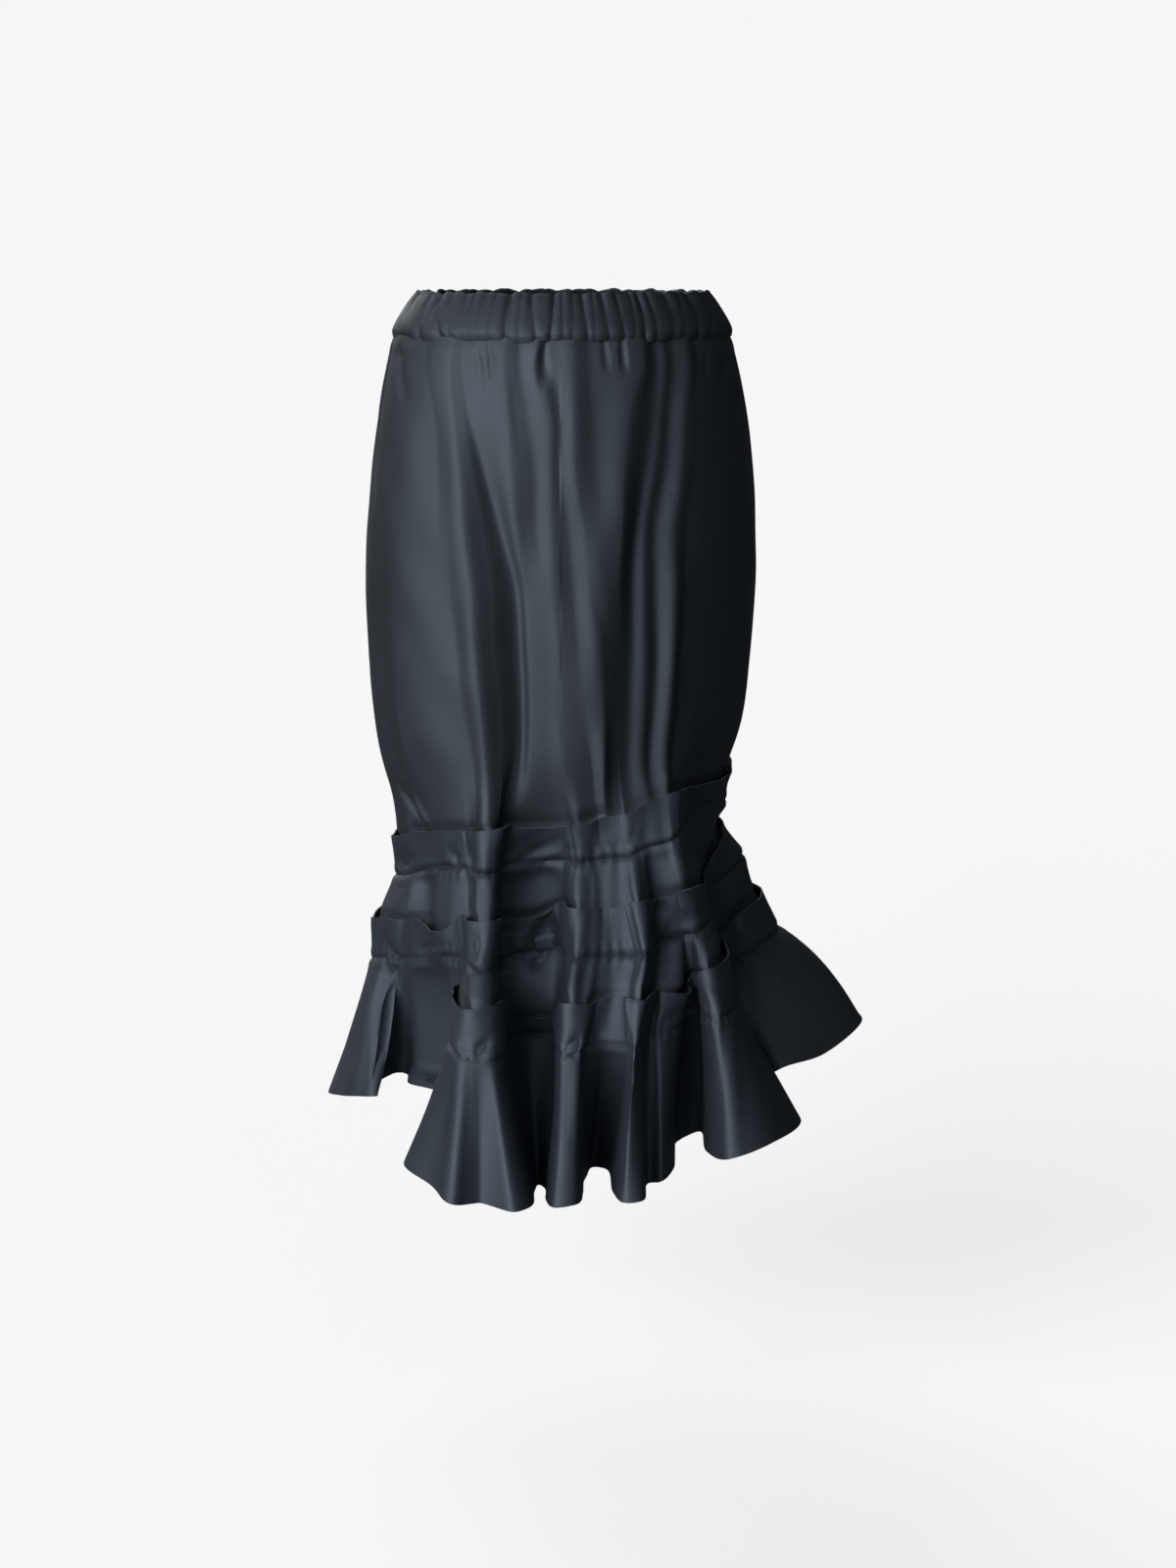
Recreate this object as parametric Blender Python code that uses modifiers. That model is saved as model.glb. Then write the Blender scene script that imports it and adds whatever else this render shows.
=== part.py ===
# Ruffled midi skirt: a gathered elastic waistband, a barrel-shaped body in a front and a
# back panel, and one long ruffle strip sewn on in a rising spiral of about two and a half
# turns.  Each turn has a free header above its stitch line and a fluted flounce below it.
# Units: metres, +Z up.  Origin: centre of the waist opening, half way up the waistband.
# The front faces -Y.  Tables are in millimetres and degrees.
import bpy
import math

MM = 0.001
WALL = 1.5            # cloth wall
SEAM_GAP = 0.35       # clearance between neighbouring pieces
LAYER = WALL + SEAM_GAP
SEAM_CUT = SEAM_GAP * 0.5
ALLOWANCE = 1.2       # narrow strip along a sewn end
SUBDIV = 2            # samples from one fold line to the next

WAIST_TOP = 20.0      # top edge of the waistband
WAIST_SEAM = -20.0    # seam between the waistband and the body
BAND_WALL = 3.6       # casing folded over its elastic
GATHER = 0.9          # height of the small gathers of the casing
BAND_COLUMNS = 68     # two to a gather

HEADER = 40.0         # free header above each stitch line
HEADER_GAP = 5.0      # how far its free edge stands off the layer below it

# Body outline: half widths to the left and right of the centre line, depth in front and behind
BODY_COLS = ("z", "left", "right", "front", "back")
BODY = [
    (-21.0, 151.0, 152.0, 112.0, 104.0),
    (-66.0, 159.0, 161.5, 122.0, 116.0),
    (-140.0, 169.0, 171.5, 132.5, 128.0),
    (-235.0, 175.5, 174.5, 138.0, 134.5),
    (-335.0, 172.8, 167.0, 136.8, 132.0),
    (-450.0, 155.0, 149.0, 128.0, 123.0),
]
BLEND_FROM, BLEND_TO = -330.0, -425.0     # the body runs into the folds of the ruffle here

# Waistband outline, top to bottom: the elastic draws the top edge in
BAND_COLS = ("z", "left", "right", "front", "back")
BAND = [
    (20.0, 136.5, 137.5, 98.0, 91.0),
    (6.0, 142.5, 143.5, 103.5, 96.0),
    (-13.0, 151.0, 152.0, 112.0, 104.0),
    (-20.0, 151.0, 152.0, 112.0, 104.0),
]

# Long folds of the body.  Each runs down through three azimuths with its own depth
# (negative: a trough) and half width in degrees.
PLEAT_COLS = ("az_top", "az_mid", "az_low", "d_top", "d_mid", "d_low", "half")
PLEATS = [
    (-36.0, -23.0, -14.0, -7.0, -9.0, -6.0, 8.0),
    (-44.0, -31.0, -22.0, 2.0, 4.0, 3.0, 8.0),
    (-14.0, -11.0, -9.0, -4.0, -1.5, 0.0, 6.0),
    (-2.0, 1.0, 4.0, -4.0, -4.0, 0.0, 6.0),
    (29.0, 21.0, 17.0, -6.0, -9.0, -6.0, 6.5),
    (36.0, 29.5, 29.0, 4.0, 7.0, 5.0, 6.5),
    (52.0, 50.0, 52.0, -3.0, -7.0, -8.0, 12.0),
    (-72.0, -68.0, -62.0, -2.0, -2.0, -4.0, 10.0),
    (96.0, 99.0, 108.0, 2.0, 3.0, 1.0, 12.0),
    (128.0, 131.0, 136.0, -5.0, -7.0, -5.0, 10.0),
    (152.0, 150.0, 148.0, 3.0, 4.0, 2.0, 9.0),
    (171.0, 167.0, 161.0, -5.0, -6.0, -4.0, 9.0),
    (200.0, 204.0, 213.0, -4.0, -7.0, -6.0, 10.0),
    (224.0, 227.0, 230.0, 3.0, 4.0, 3.0, 10.0),
    (246.0, 246.0, 242.0, -4.0, -6.0, -5.0, 11.0),
]

# Fold lines of the ruffle, once round from the left of the first flute.  Each runs down
# through the stitch lines of the turns (2 is the highest) to the hem.  `az` says where it
# leaves the body; the turn 2 columns end at the centre back, where the strip ends.
FOLD_COLS = ("name", "az", "x2", "y2", "x1", "y1", "x0", "y0", "xh", "yh", "zh")
FOLDS = [
    ("flute1_root",  -33, -86, -121,  -86, -140,  -95, -146, -119, -143, -722),
    ("flute1_edge",  -30, -82, -125,  -82, -158,  -97, -196, -138, -186, -730),
    ("flute1_left",  -27, -77, -135,  -80, -172,  -92, -214, -112, -228, -737),
    ("flute1_ridge", -24, -72, -147,  -75, -181,  -83, -224,  -92, -257, -745),
    ("flute1_mid",   -21, -65, -151,  -69, -184,  -70, -227,  -68, -245, -747),
    ("flute1_right", -18, -58, -148,  -62, -181,  -58, -226,  -40, -271, -747),
    ("flute1_fold",  -16, -54, -138,  -57, -168,  -49, -213,  -26, -261, -746),
    ("recess1_left", -14, -49, -123,  -54, -130,  -47, -150,  -23, -205, -750),
    ("recess1",       -8, -24, -117,  -28, -118,  -28, -128,  -20, -182, -751),
    ("recess1_right", -2,   2, -122,   -2, -123,   -8, -136,  -14, -200, -749),
    ("flute2_left",    1,  10, -134,    6, -158,   -4, -193,  -13, -236, -748),
    ("flute2_ridge",   4,  18, -140,   13, -175,    3, -213,   -5, -262, -746),
    ("flute2_right",   8,  28, -138,   25, -172,   17, -212,   13, -260, -744),
    ("recess2_left",  11,  34, -137,   36, -168,   23, -200,   20, -222, -746),
    ("recess2",       14,  42, -138,   49, -167,   39, -194,   27, -150, -745),
    ("flute3_left",   17,  51, -139,   62, -170,   55, -203,   40, -166, -742),
    ("flute3_edge", 18.5,  55, -140,   67, -174,   60, -209,   45, -226, -744),
    ("flute3_ridge",  20,  60, -142,   74, -181,   64, -215,   54, -252, -745),
    ("flute3_right",  23,  68, -140,   80, -166,   70, -198,   70, -250, -744),
    ("recess3",       26,  76, -138,   87, -144,   77, -179,   76, -200, -744),
    ("flute4_ridge",  29,  84, -137,   94, -140,   88, -180,   87, -205, -741),
    ("flute4_right",  32,  90, -136,  105, -140,  105, -165,   99, -175, -738),
    ("recess4_left",  34,  94, -136,  109, -140,  107, -134,  103, -114, -733),
    ("recess4_right", 36,  97, -136,  113, -142,  120, -132,  122, -110, -724),
    ("flute5_left",   38, 100, -134,  118, -142,  123, -170,  127, -188, -719),
    ("flute5_ridge",  41, 103, -130,  123, -138,  135, -188,  145, -243, -709),
    ("flute5_right",  45, 106, -121,  129, -126,  148, -172,  182, -228, -699),
    ("flute5_tip",    50, 109, -108,  131, -106,  154, -135,  212, -130, -703),
    ("recess5",       58, 115,  -88,  129,  -80,  150,  -90,  174,  -88, -690),
    ("fin_slope",     66, 129,  -62,  142,  -57,  160,  -64,  197, -100, -668),
    ("fin_front",     74, 140,  -42,  153,  -40,  178,  -46,  235,  -80, -661),
    ("fin_crest",     85, 149,  -12,  164,  -10,  198,  -12,  276,  -18, -646),
    ("fin_back",      97, 149,   22,  166,   26,  194,   30,  262,   52, -655),
    ("back_v1",      110, 141,   56,  151,   60,  160,   70,  184,   88, -696),
    ("back_r1a",     118, 131,   77,  141,   84,  154,  104,  200,  140, -688),
    ("back_r1b",     127, 115,   95,  124,  108,  130,  134,  160,  188, -690),
    ("back_v2",      137,  96,  110,  101,  116,  101,  127,  106,  138, -704),
    ("back_r2a",     144,  80,  119,   85,  131,   87,  154,  108,  204, -692),
    ("back_r2b",     151,  63,  125,   67,  141,   66,  170,   68,  236, -691),
    ("back_v3",      160,  42,  128,   43,  133,   43,  141,   42,  154, -706),
    ("back_r3a",     167,  27,  129,   29,  144,   32,  169,   46,  228, -696),
    ("back_r3b",     174,  12,  130,   11,  148,   10,  176,    6,  240, -694),
    ("centre_back",  180,  -2,  131,   -3,  144,   -6,  163,  -12,  200, -703),
    ("back_v4",      188,   0,    0,  -22,  134,  -25,  142,  -28,  154, -712),
    ("back_r4a",     198,   0,    0,  -42,  139,  -43,  166,  -42,  228, -702),
    ("back_r4b",     205,   0,    0,  -58,  136,  -62,  164,  -84,  224, -700),
    ("back_v5",      215,   0,    0,  -80,  124,  -84,  133,  -90,  142, -716),
    ("back_r5a",     224,   0,    0, -102,  117, -108,  142, -122,  200, -707),
    ("back_r5b",     233,   0,    0, -118,  102, -130,  122, -162,  168, -706),
    ("back_v6",      242,   0,    0, -131,   80, -142,   87, -155,   98, -722),
    ("left_back",    253,   0,    0, -146,   48, -166,   54, -200,   72, -715),
    ("left_crest",   268,   0,    0, -154,    2, -178,    4, -219,    2, -718),
    ("left_front",   276,   0,    0, -150,  -22, -171,  -20, -207,  -32, -712),
    ("left_slope",   284,   0,    0, -143,  -40, -163,  -36, -191,  -60, -705),
    ("left_fold",    292,   0,    0, -137,  -52, -156,  -46, -167,  -84, -697),
    ("left_v1",      298,   0,    0, -131,  -61, -150,  -51, -157,  -52, -693),
    ("left_v2",      303,   0,    0, -126,  -68, -144,  -58, -149,  -36, -692),
    ("left_ridge",   309,   0,    0, -118,  -79, -136,  -76, -142,  -62, -692),
    ("left_panel",   316,   0,    0, -108,  -92, -118, -100, -122,  -90, -689),
    ("left_inner",   322,   0,    0,  -97, -108, -102, -118, -104, -108, -688),
]
HEM_BEHIND = (-92.0, -122.0, -687.0)      # hem of the strip where the first flute covers it

# Height of the stitch line along the spiral; position = azimuth + 360 for each turn
SPIRAL_COLS = ("position", "z")
SPIRAL = [
    (-33, -617), (-27, -622), (-20, -625), (-12, -629), (0, -626), (8, -622), (17, -620),
    (26, -616), (32, -612), (37, -601), (45, -597), (60, -582), (74, -569), (87, -560),
    (130, -568), (180, -575), (230, -583), (268, -590), (280, -581), (300, -578),
    (316, -567), (325, -558), (340, -557), (350, -558), (359, -549), (377, -546),
    (386, -539), (396, -535), (404, -530), (418, -514), (430, -501), (445, -494),
    (500, -497), (540, -503), (590, -509), (628, -510), (650, -500), (665, -491),
    (676, -485), (688, -480), (700, -479), (710, -476), (722, -471), (739, -466),
    (746, -458), (757, -452), (768, -440), (778, -432), (792, -432), (805, -440),
    (860, -438), (900, -436),
]
# The two upper flounces are drawn in above the next header on the right side
NIP_COLS = ("turn", "az", "half", "depth")
NIPS = [(2, 90.0, 38.0, 17.0), (1, 92.0, 40.0, 6.0), (1, 265.0, 30.0, -2.0)]
FLARE_BULGE = {2: 2.0, 1: 3.0, 0: -2.0}   # how far each flounce swells between its edges

ROWS = len(FOLDS)
RIGHT_SEAM = [r[0] for r in FOLDS].index("fin_front")      # joins of the ruffle strip
BODY_SEAM = [r[0] for r in FOLDS].index("fin_slope")       # right side seam of the body
LEFT_SEAM = [r[0] for r in FOLDS].index("left_crest")
CENTRE_BACK = [r[0] for r in FOLDS].index("centre_back")   # where the strip ends

COLOURS = {
    "waistband":         (0.050, 0.055, 0.064),
    "body_front":        (0.056, 0.062, 0.072),
    "body_back":         (0.054, 0.060, 0.070),
    "ruffle_low_front":  (0.058, 0.066, 0.077),
    "ruffle_low_back":   (0.055, 0.062, 0.072),
    "ruffle_mid_front":  (0.060, 0.067, 0.078),
    "ruffle_mid_back":   (0.055, 0.062, 0.072),
    "ruffle_top_front":  (0.060, 0.067, 0.078),
    "ruffle_top_back":   (0.055, 0.062, 0.072),
}


# ---------------------------------------------------------------- small helpers
def smooth(t):
    t = min(1.0, max(0.0, t))
    return t * t * (3.0 - 2.0 * t)


def along(table, key, column=1):
    """Linear reading of a table whose first column rises."""
    if key <= table[0][0]:
        return table[0][column]
    for a, b in zip(table, table[1:]):
        if key <= b[0]:
            f = (key - a[0]) / (b[0] - a[0])
            return a[column] + (b[column] - a[column]) * f
    return table[-1][column]


def catmull(p0, p1, p2, p3, f):
    """Centripetal spline from p1 to p2."""
    def knot(a, b):
        return max(1e-6, math.dist(a, b) ** 0.5)
    t0 = 0.0
    t1 = t0 + knot(p0, p1)
    t2 = t1 + knot(p1, p2)
    t3 = t2 + knot(p2, p3)
    t = t1 + (t2 - t1) * f

    def mix(a, b, ta, tb):
        w = (t - ta) / (tb - ta)
        return tuple(u + (v - u) * w for u, v in zip(a, b))
    a1, a2, a3 = mix(p0, p1, t0, t1), mix(p1, p2, t1, t2), mix(p2, p3, t2, t3)
    b1, b2 = mix(a1, a2, t0, t2), mix(a2, a3, t1, t3)
    return mix(b1, b2, t1, t2)


def resample(points, count):
    """A smooth curve through the points, `count` samples to each interval."""
    out = []
    last = len(points) - 1
    for i in range(last):
        p0, p3 = points[max(0, i - 1)], points[min(last, i + 2)]
        for j in range(count):
            out.append(catmull(p0, points[i], points[i + 1], p3, j / count))
    out.append(tuple(points[-1]))
    return out


def plan_normals(points):
    """Outward directions in plan for a curve that runs front, right, back, left."""
    out = []
    last = len(points) - 1
    for i in range(len(points)):
        a, b = points[max(0, i - 1)], points[min(last, i + 1)]
        tx, ty = b[0] - a[0], b[1] - a[1]
        length = math.hypot(tx, ty) or 1.0
        out.append((ty / length, -tx / length))
    return out


def shifted(p, n, d):
    return (p[0] + n[0] * d, p[1] + n[1] * d, p[2])


def lerp(a, b, f):
    return tuple(u + (v - u) * f for u, v in zip(a, b))


# ---------------------------------------------------------------- curves of the ruffle
def fold(row, turn):
    r = FOLDS[row]
    col = {2: 2, 1: 4, 0: 6}[turn]
    return (float(r[col]), float(r[col + 1]), along(SPIRAL, r[1] + 360.0 * turn))


def spiral_stitch():
    """Stitch line of the whole strip: all rows of turn 0, of turn 1, then turn 2 to its end."""
    pts = [fold(i, 0) for i in range(ROWS)] + [fold(i, 1) for i in range(ROWS)]
    pts += [fold(i, 2) for i in range(CENTRE_BACK + 1)]
    return resample(pts, SUBDIV)


def hem_line():
    pts = [(float(r[8]), float(r[9]), float(r[10])) for r in FOLDS] + [HEM_BEHIND]
    return resample(pts, SUBDIV)


STITCH = spiral_stitch()
STITCH_N = plan_normals(STITCH)
HEM = hem_line()
TURN = ROWS * SUBDIV                      # samples in one turn
AZ = [resample([(r[1], 0.0) for r in FOLDS] + [(FOLDS[0][1] + 360.0, 0.0)], 1)[i][0]
      for i in range(ROWS + 1)]


def turning(k):
    """Unit directions in plan of the stitch line before and after sample k."""
    last = len(STITCH) - 1
    out = []
    for i, j in ((max(0, k - 1), max(1, k)), (min(last - 1, k), min(last, k + 1))):
        dx, dy = STITCH[j][0] - STITCH[i][0], STITCH[j][1] - STITCH[i][1]
        d = math.hypot(dx, dy) or 1.0
        out.append((dx / d, dy / d))
    return out


def ridge_scale(k):
    """Extra distance along the bisector of a sharp fold that keeps its sides apart."""
    a, b = turning(k)
    cos_full = max(-0.9, min(1.0, a[0] * b[0] + a[1] * b[1]))
    return min(1.7, 1.0 / math.sqrt(0.5 * (1.0 + cos_full)))


def openness(k):
    """1 on the crests of the flutes, little inside the recesses."""
    here = STITCH[k]
    n = STITCH_N[k]
    deepest = 0.0
    for span in (2, 4, 6):
        a, b = STITCH[max(0, k - span)], STITCH[min(len(STITCH) - 1, k + span)]
        inward = ((a[0] + b[0]) * 0.5 - here[0]) * n[0] + ((a[1] + b[1]) * 0.5 - here[1]) * n[1]
        deepest = max(deepest, inward)
    return 1.0 - 0.9 * smooth(deepest / 8.0)


def flare_scale(k):
    """How much further, in plan, a layer must lie to clear a sloping one by the same gap."""
    here = STITCH[k]
    below = HEM[k] if k <= TURN else STITCH[k - TURN]
    up = k + TURN
    above = STITCH[up] if up < len(STITCH) else (here[0] - STITCH_N[k][0] * 8.0,
                                                  here[1] - STITCH_N[k][1] * 8.0,
                                                  here[2] + 60.0)
    worst = 1.0
    for a, b in ((here, below), (above, here)):
        out = (b[0] - a[0]) * STITCH_N[k][0] + (b[1] - a[1]) * STITCH_N[k][1]
        drop = max(1.0, a[2] - b[2])
        worst = max(worst, math.hypot(out, drop) / drop)
    return min(2.0, worst) * ridge_scale(k)


LAYER_AT = [LAYER * flare_scale(k) for k in range(len(STITCH))]
OPEN_AT = [openness(k) for k in range(len(STITCH))]


def azimuth(k):
    """Azimuth on the body of sample k, counted from the start of the strip."""
    turn, rest = divmod(k, TURN)
    i, j = divmod(rest, SUBDIV)
    return AZ[i] + (AZ[i + 1] - AZ[i]) * j / SUBDIV + 360.0 * turn


def nip(turn, az):
    total = 0.0
    for t, centre, half, depth in NIPS:
        if t == turn:
            d = abs((az - centre + 180.0) % 360.0 - 180.0)
            if d < half:
                total += depth * 0.5 * (1.0 + math.cos(math.pi * d / half))
    return total


def flounce_bottom(k):
    """Lower edge of the flounce at sample k: the hem, or just inside the next stitch line."""
    if k <= TURN:
        return HEM[k]
    j = k - TURN
    return shifted(STITCH[j], STITCH_N[j], -LAYER_AT[j])


def flounce(k, f):
    """Point of the flounce at sample k, a fraction f of the way down from its stitch line."""
    top, low = STITCH[k], flounce_bottom(k)
    p = lerp(top, low, f)
    turn = 2 if k > 2 * TURN else (1 if k > TURN else 0)
    swell = FLARE_BULGE[turn] * math.sin(math.pi * f)
    n = STITCH_N[k]
    if k > TURN:
        az = azimuth(k) % 360.0
        swell -= nip(turn, az) * math.sin(math.pi * f ** 0.9) ** 2
    return shifted(p, n, swell)


# ---------------------------------------------------------------- body
def body_bottom_index(m):
    """Sample of the strip that the body ends behind, for sample m once round."""
    return m + 2 * TURN if m <= CENTRE_BACK * SUBDIV else m + TURN


def body_section(z, az):
    """Plain oval section of the body with its long folds."""
    rows = BAND if z >= WAIST_SEAM - 0.5 else BODY
    table = sorted(rows)
    left, right, front, back = (along(table, z, c) for c in (1, 2, 3, 4))
    a = math.radians(az)
    s, c = math.sin(a), math.cos(a)
    half = right if s >= 0 else left
    deep = front if c >= 0 else back
    down = (WAIST_SEAM - z) / 420.0
    bump = 0.0
    if z <= WAIST_SEAM - 0.5:
        for at, am, al, dt, dm, dl, w in PLEATS:
            path = [(0.0, at, dt), (0.45, am, dm), (1.0, al, dl)]
            centre, depth = along(path, down, 1), along(path, down, 2)
            d = abs((az - centre + 180.0) % 360.0 - 180.0)
            if d < w:
                bump += depth * 0.5 * (1.0 + math.cos(math.pi * d / w))
    n = (s / half, -c / deep)
    length = math.hypot(*n)
    return (half * s + bump * n[0] / length, -deep * c + bump * n[1] / length, z)


def body_point(m, z):
    """Point of the body's outer face for sample m once round, at height z."""
    k = body_bottom_index(m)
    j = k % TURN
    az = azimuth(j)
    p = body_section(z, az)
    w = smooth((BLEND_FROM - z) / (BLEND_FROM - BLEND_TO))
    near_end = max(0.0, 1.0 - abs(az - 180.0) / 14.0)
    q = shifted(STITCH[k], STITCH_N[k], -LAYER_AT[k] * (1.0 + smooth(near_end * 2.0)))
    return (p[0] + (q[0] - p[0]) * w, p[1] + (q[1] - p[1]) * w, z)


def layer_below(k, z):
    """Outer face of whatever lies under the header at sample k, at height z."""
    up = k + TURN
    if up < len(STITCH):
        top, low = STITCH[up][2], flounce_bottom(up)[2]
        f = min(1.0, max(0.0, (top - z) / (top - low)))
        return flounce(up, f)
    return body_point(k % TURN, z)


# ---------------------------------------------------------------- grids -> solids
def header_column(k, steps):
    """Header from its free edge down to the stitch line, standing off the layer below."""
    col = []
    base = STITCH[k]
    for i in range(steps):
        f = 1.0 - i / steps
        z = base[2] + HEADER * f
        under = layer_below(k, z)
        n = STITCH_N[k]
        col.append(shifted((under[0], under[1], z), n, LAYER_AT[k] + HEADER_GAP * OPEN_AT[k] * f))
    return col


def ruffle_column(k, header_steps, flounce_steps):
    col = header_column(k, header_steps)
    return col + [flounce(k, i / flounce_steps) for i in range(flounce_steps + 1)]


def panel(column, first, last, sewn=(True, True)):
    """Columns first..last.  A sewn end stops short of its neighbour, with a narrow allowance
    that lies along the common tangent, so that both ends face each other squarely."""
    cols = [column(k) for k in range(first, last + 1)]

    def allowance(k, side):
        here, before, after = column(k), column(k - 1), column(k + 1)
        near, far = [], []
        for p, q, r in zip(here, before, after):
            d = math.dist(q, r) or 1.0
            t = tuple((w - v) / d * side for v, w in zip(q, r))
            near.append(tuple(c + u * SEAM_CUT for c, u in zip(p, t)))
            far.append(tuple(c + u * ALLOWANCE for c, u in zip(p, t)))
        return near, far
    if sewn[0]:
        near, far = allowance(first, 1.0)
        cols[0:1] = [near, far]
    if sewn[1]:
        near, far = allowance(last, -1.0)
        cols[-1:] = [far, near]
    return cols


def sheet(name, grid, wall, closed=False):
    """An open surface through the grid's columns, made a wall by Solidify (inwards)."""
    cols, rows = len(grid), len(grid[0])
    verts = [tuple(c * MM for c in p) for col in grid for p in col]
    faces = []
    for i in range(cols if closed else cols - 1):
        a, b = i * rows, ((i + 1) % cols) * rows
        for j in range(rows - 1):
            faces.append((a + j, a + j + 1, b + j + 1, b + j))
    mesh = bpy.data.meshes.new(name)
    mesh.from_pydata(verts, [], faces)
    mesh.update()
    obj = bpy.data.objects.new(name, mesh)
    COLLECTION.objects.link(obj)
    mod = obj.modifiers.new("wall", "SOLIDIFY")
    mod.thickness = wall * MM
    mod.offset = -1.0
    mod.use_even_offset = False
    for poly in mesh.polygons:
        poly.use_smooth = True
    mesh.set_sharp_from_angle(angle=math.radians(50.0))
    mat = bpy.data.materials.new(name + "_cloth")
    mat.use_nodes = True
    shader = mat.node_tree.nodes["Principled BSDF"]
    shader.inputs["Base Color"].default_value = (*COLOURS[name], 1.0)
    shader.inputs["Roughness"].default_value = 0.55
    shader.inputs["Metallic"].default_value = 0.0
    mesh.materials.append(mat)
    return obj


def body_column(m):
    """Column of the body from its top edge down to the stitch line that holds it."""
    j = m % TURN
    low = STITCH[body_bottom_index(j)][2]
    levels = [row[0] for row in BODY[:-1]]
    return [body_point(j, z) for z in levels + [low + HEADER + 4.0, low]]


def band_grid():
    grid = []
    for m in range(BAND_COLUMNS):
        az = 360.0 * m / BAND_COLUMNS
        a = math.radians(az)
        out = GATHER if m % 2 else -GATHER
        col = []
        for z, _, _, _, _ in BAND:
            p = body_section(z, az)
            col.append((p[0] + out * math.sin(a), p[1] - out * math.cos(a), z))
        grid.append(col)
    return grid


# ---------------------------------------------------------------- build
for old in list(bpy.data.objects):
    bpy.data.objects.remove(old, do_unlink=True)

COLLECTION = bpy.data.collections.new("ruffled_skirt")
bpy.context.scene.collection.children.link(COLLECTION)

right = RIGHT_SEAM * SUBDIV
left = LEFT_SEAM * SUBDIV
side = BODY_SEAM * SUBDIV
end = 2 * TURN + CENTRE_BACK * SUBDIV


def low(k):
    return ruffle_column(k, 1, 2)


def upper(k):
    return ruffle_column(k, 1, 2)


sheet("waistband", band_grid(), BAND_WALL, closed=True)
sheet("body_front", panel(body_column, left, TURN + side), WALL)
sheet("body_back", panel(body_column, side, left), WALL)
sheet("ruffle_low_front", panel(low, 0, right, (False, True)), WALL)
sheet("ruffle_low_back", panel(low, right, left), WALL)
sheet("ruffle_mid_front", panel(upper, left, TURN + right), WALL)
sheet("ruffle_mid_back", panel(upper, TURN + right, TURN + left), WALL)
sheet("ruffle_top_front", panel(upper, TURN + left, 2 * TURN + right), WALL)
sheet("ruffle_top_back", panel(upper, 2 * TURN + right, end, (True, False)), WALL)
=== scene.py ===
# Looks of the ruffled midi skirt: a gathered waistband casing, a body with long soft folds and
# one ruffle strip in a rising spiral, all thin shells on the forms of their CAD solids.
# Tables are in millimetres and degrees; +Z is up and the front faces -Y.
import math
import bpy
import numpy as np
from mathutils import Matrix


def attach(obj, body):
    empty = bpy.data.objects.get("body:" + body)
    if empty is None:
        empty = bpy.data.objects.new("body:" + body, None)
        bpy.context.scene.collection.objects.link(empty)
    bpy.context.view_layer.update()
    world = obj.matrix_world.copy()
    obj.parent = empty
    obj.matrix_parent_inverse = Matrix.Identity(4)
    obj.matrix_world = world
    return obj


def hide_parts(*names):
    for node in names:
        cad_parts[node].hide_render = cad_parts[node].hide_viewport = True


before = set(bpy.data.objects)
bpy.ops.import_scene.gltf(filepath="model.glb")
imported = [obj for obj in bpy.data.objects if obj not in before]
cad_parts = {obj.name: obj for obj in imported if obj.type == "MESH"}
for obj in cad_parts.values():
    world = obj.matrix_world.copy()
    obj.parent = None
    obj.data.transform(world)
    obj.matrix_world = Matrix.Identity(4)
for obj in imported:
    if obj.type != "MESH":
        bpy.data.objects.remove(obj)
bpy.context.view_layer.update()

# === cloth in numbers ===
MM = 0.001
CLOTH = 1.2            # thickness of the cloth
LAYER = 1.85           # one cloth over another
SUB = 10               # columns from one fold line to the next
WAIST_TOP, WAIST_SEAM = 20.0, -20.0
HEADER_GAP = 2.4

BODY = [               # z, left, right, front, back
    (-21.0, 151.5, 152.0, 112.0, 104.0),
    (-66.0, 161.0, 161.5, 122.0, 116.0),
    (-112.0, 167.5, 168.5, 129.0, 124.0),
    (-170.0, 173.8, 173.5, 135.0, 131.5),
    (-235.0, 177.2, 175.0, 138.0, 134.5),
    (-300.0, 176.0, 172.0, 138.0, 133.6),
    (-340.0, 173.6, 168.6, 136.6, 131.6),
    (-375.0, 170.0, 163.6, 135.0, 130.0),
    (-404.0, 165.0, 157.0, 132.6, 127.5),
    (-440.0, 156.5, 148.0, 129.5, 124.0),
    (-500.0, 148.0, 142.0, 124.0, 119.0),
]
BLEND_FROM = -330.0
BAND = [
    (20.0, 136.5, 137.5, 98.0, 91.0),
    (6.0, 142.5, 143.5, 103.5, 96.0),
    (-13.0, 151.0, 152.0, 112.0, 104.0),
    (-20.0, 151.0, 152.0, 112.0, 104.0),
]
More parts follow.
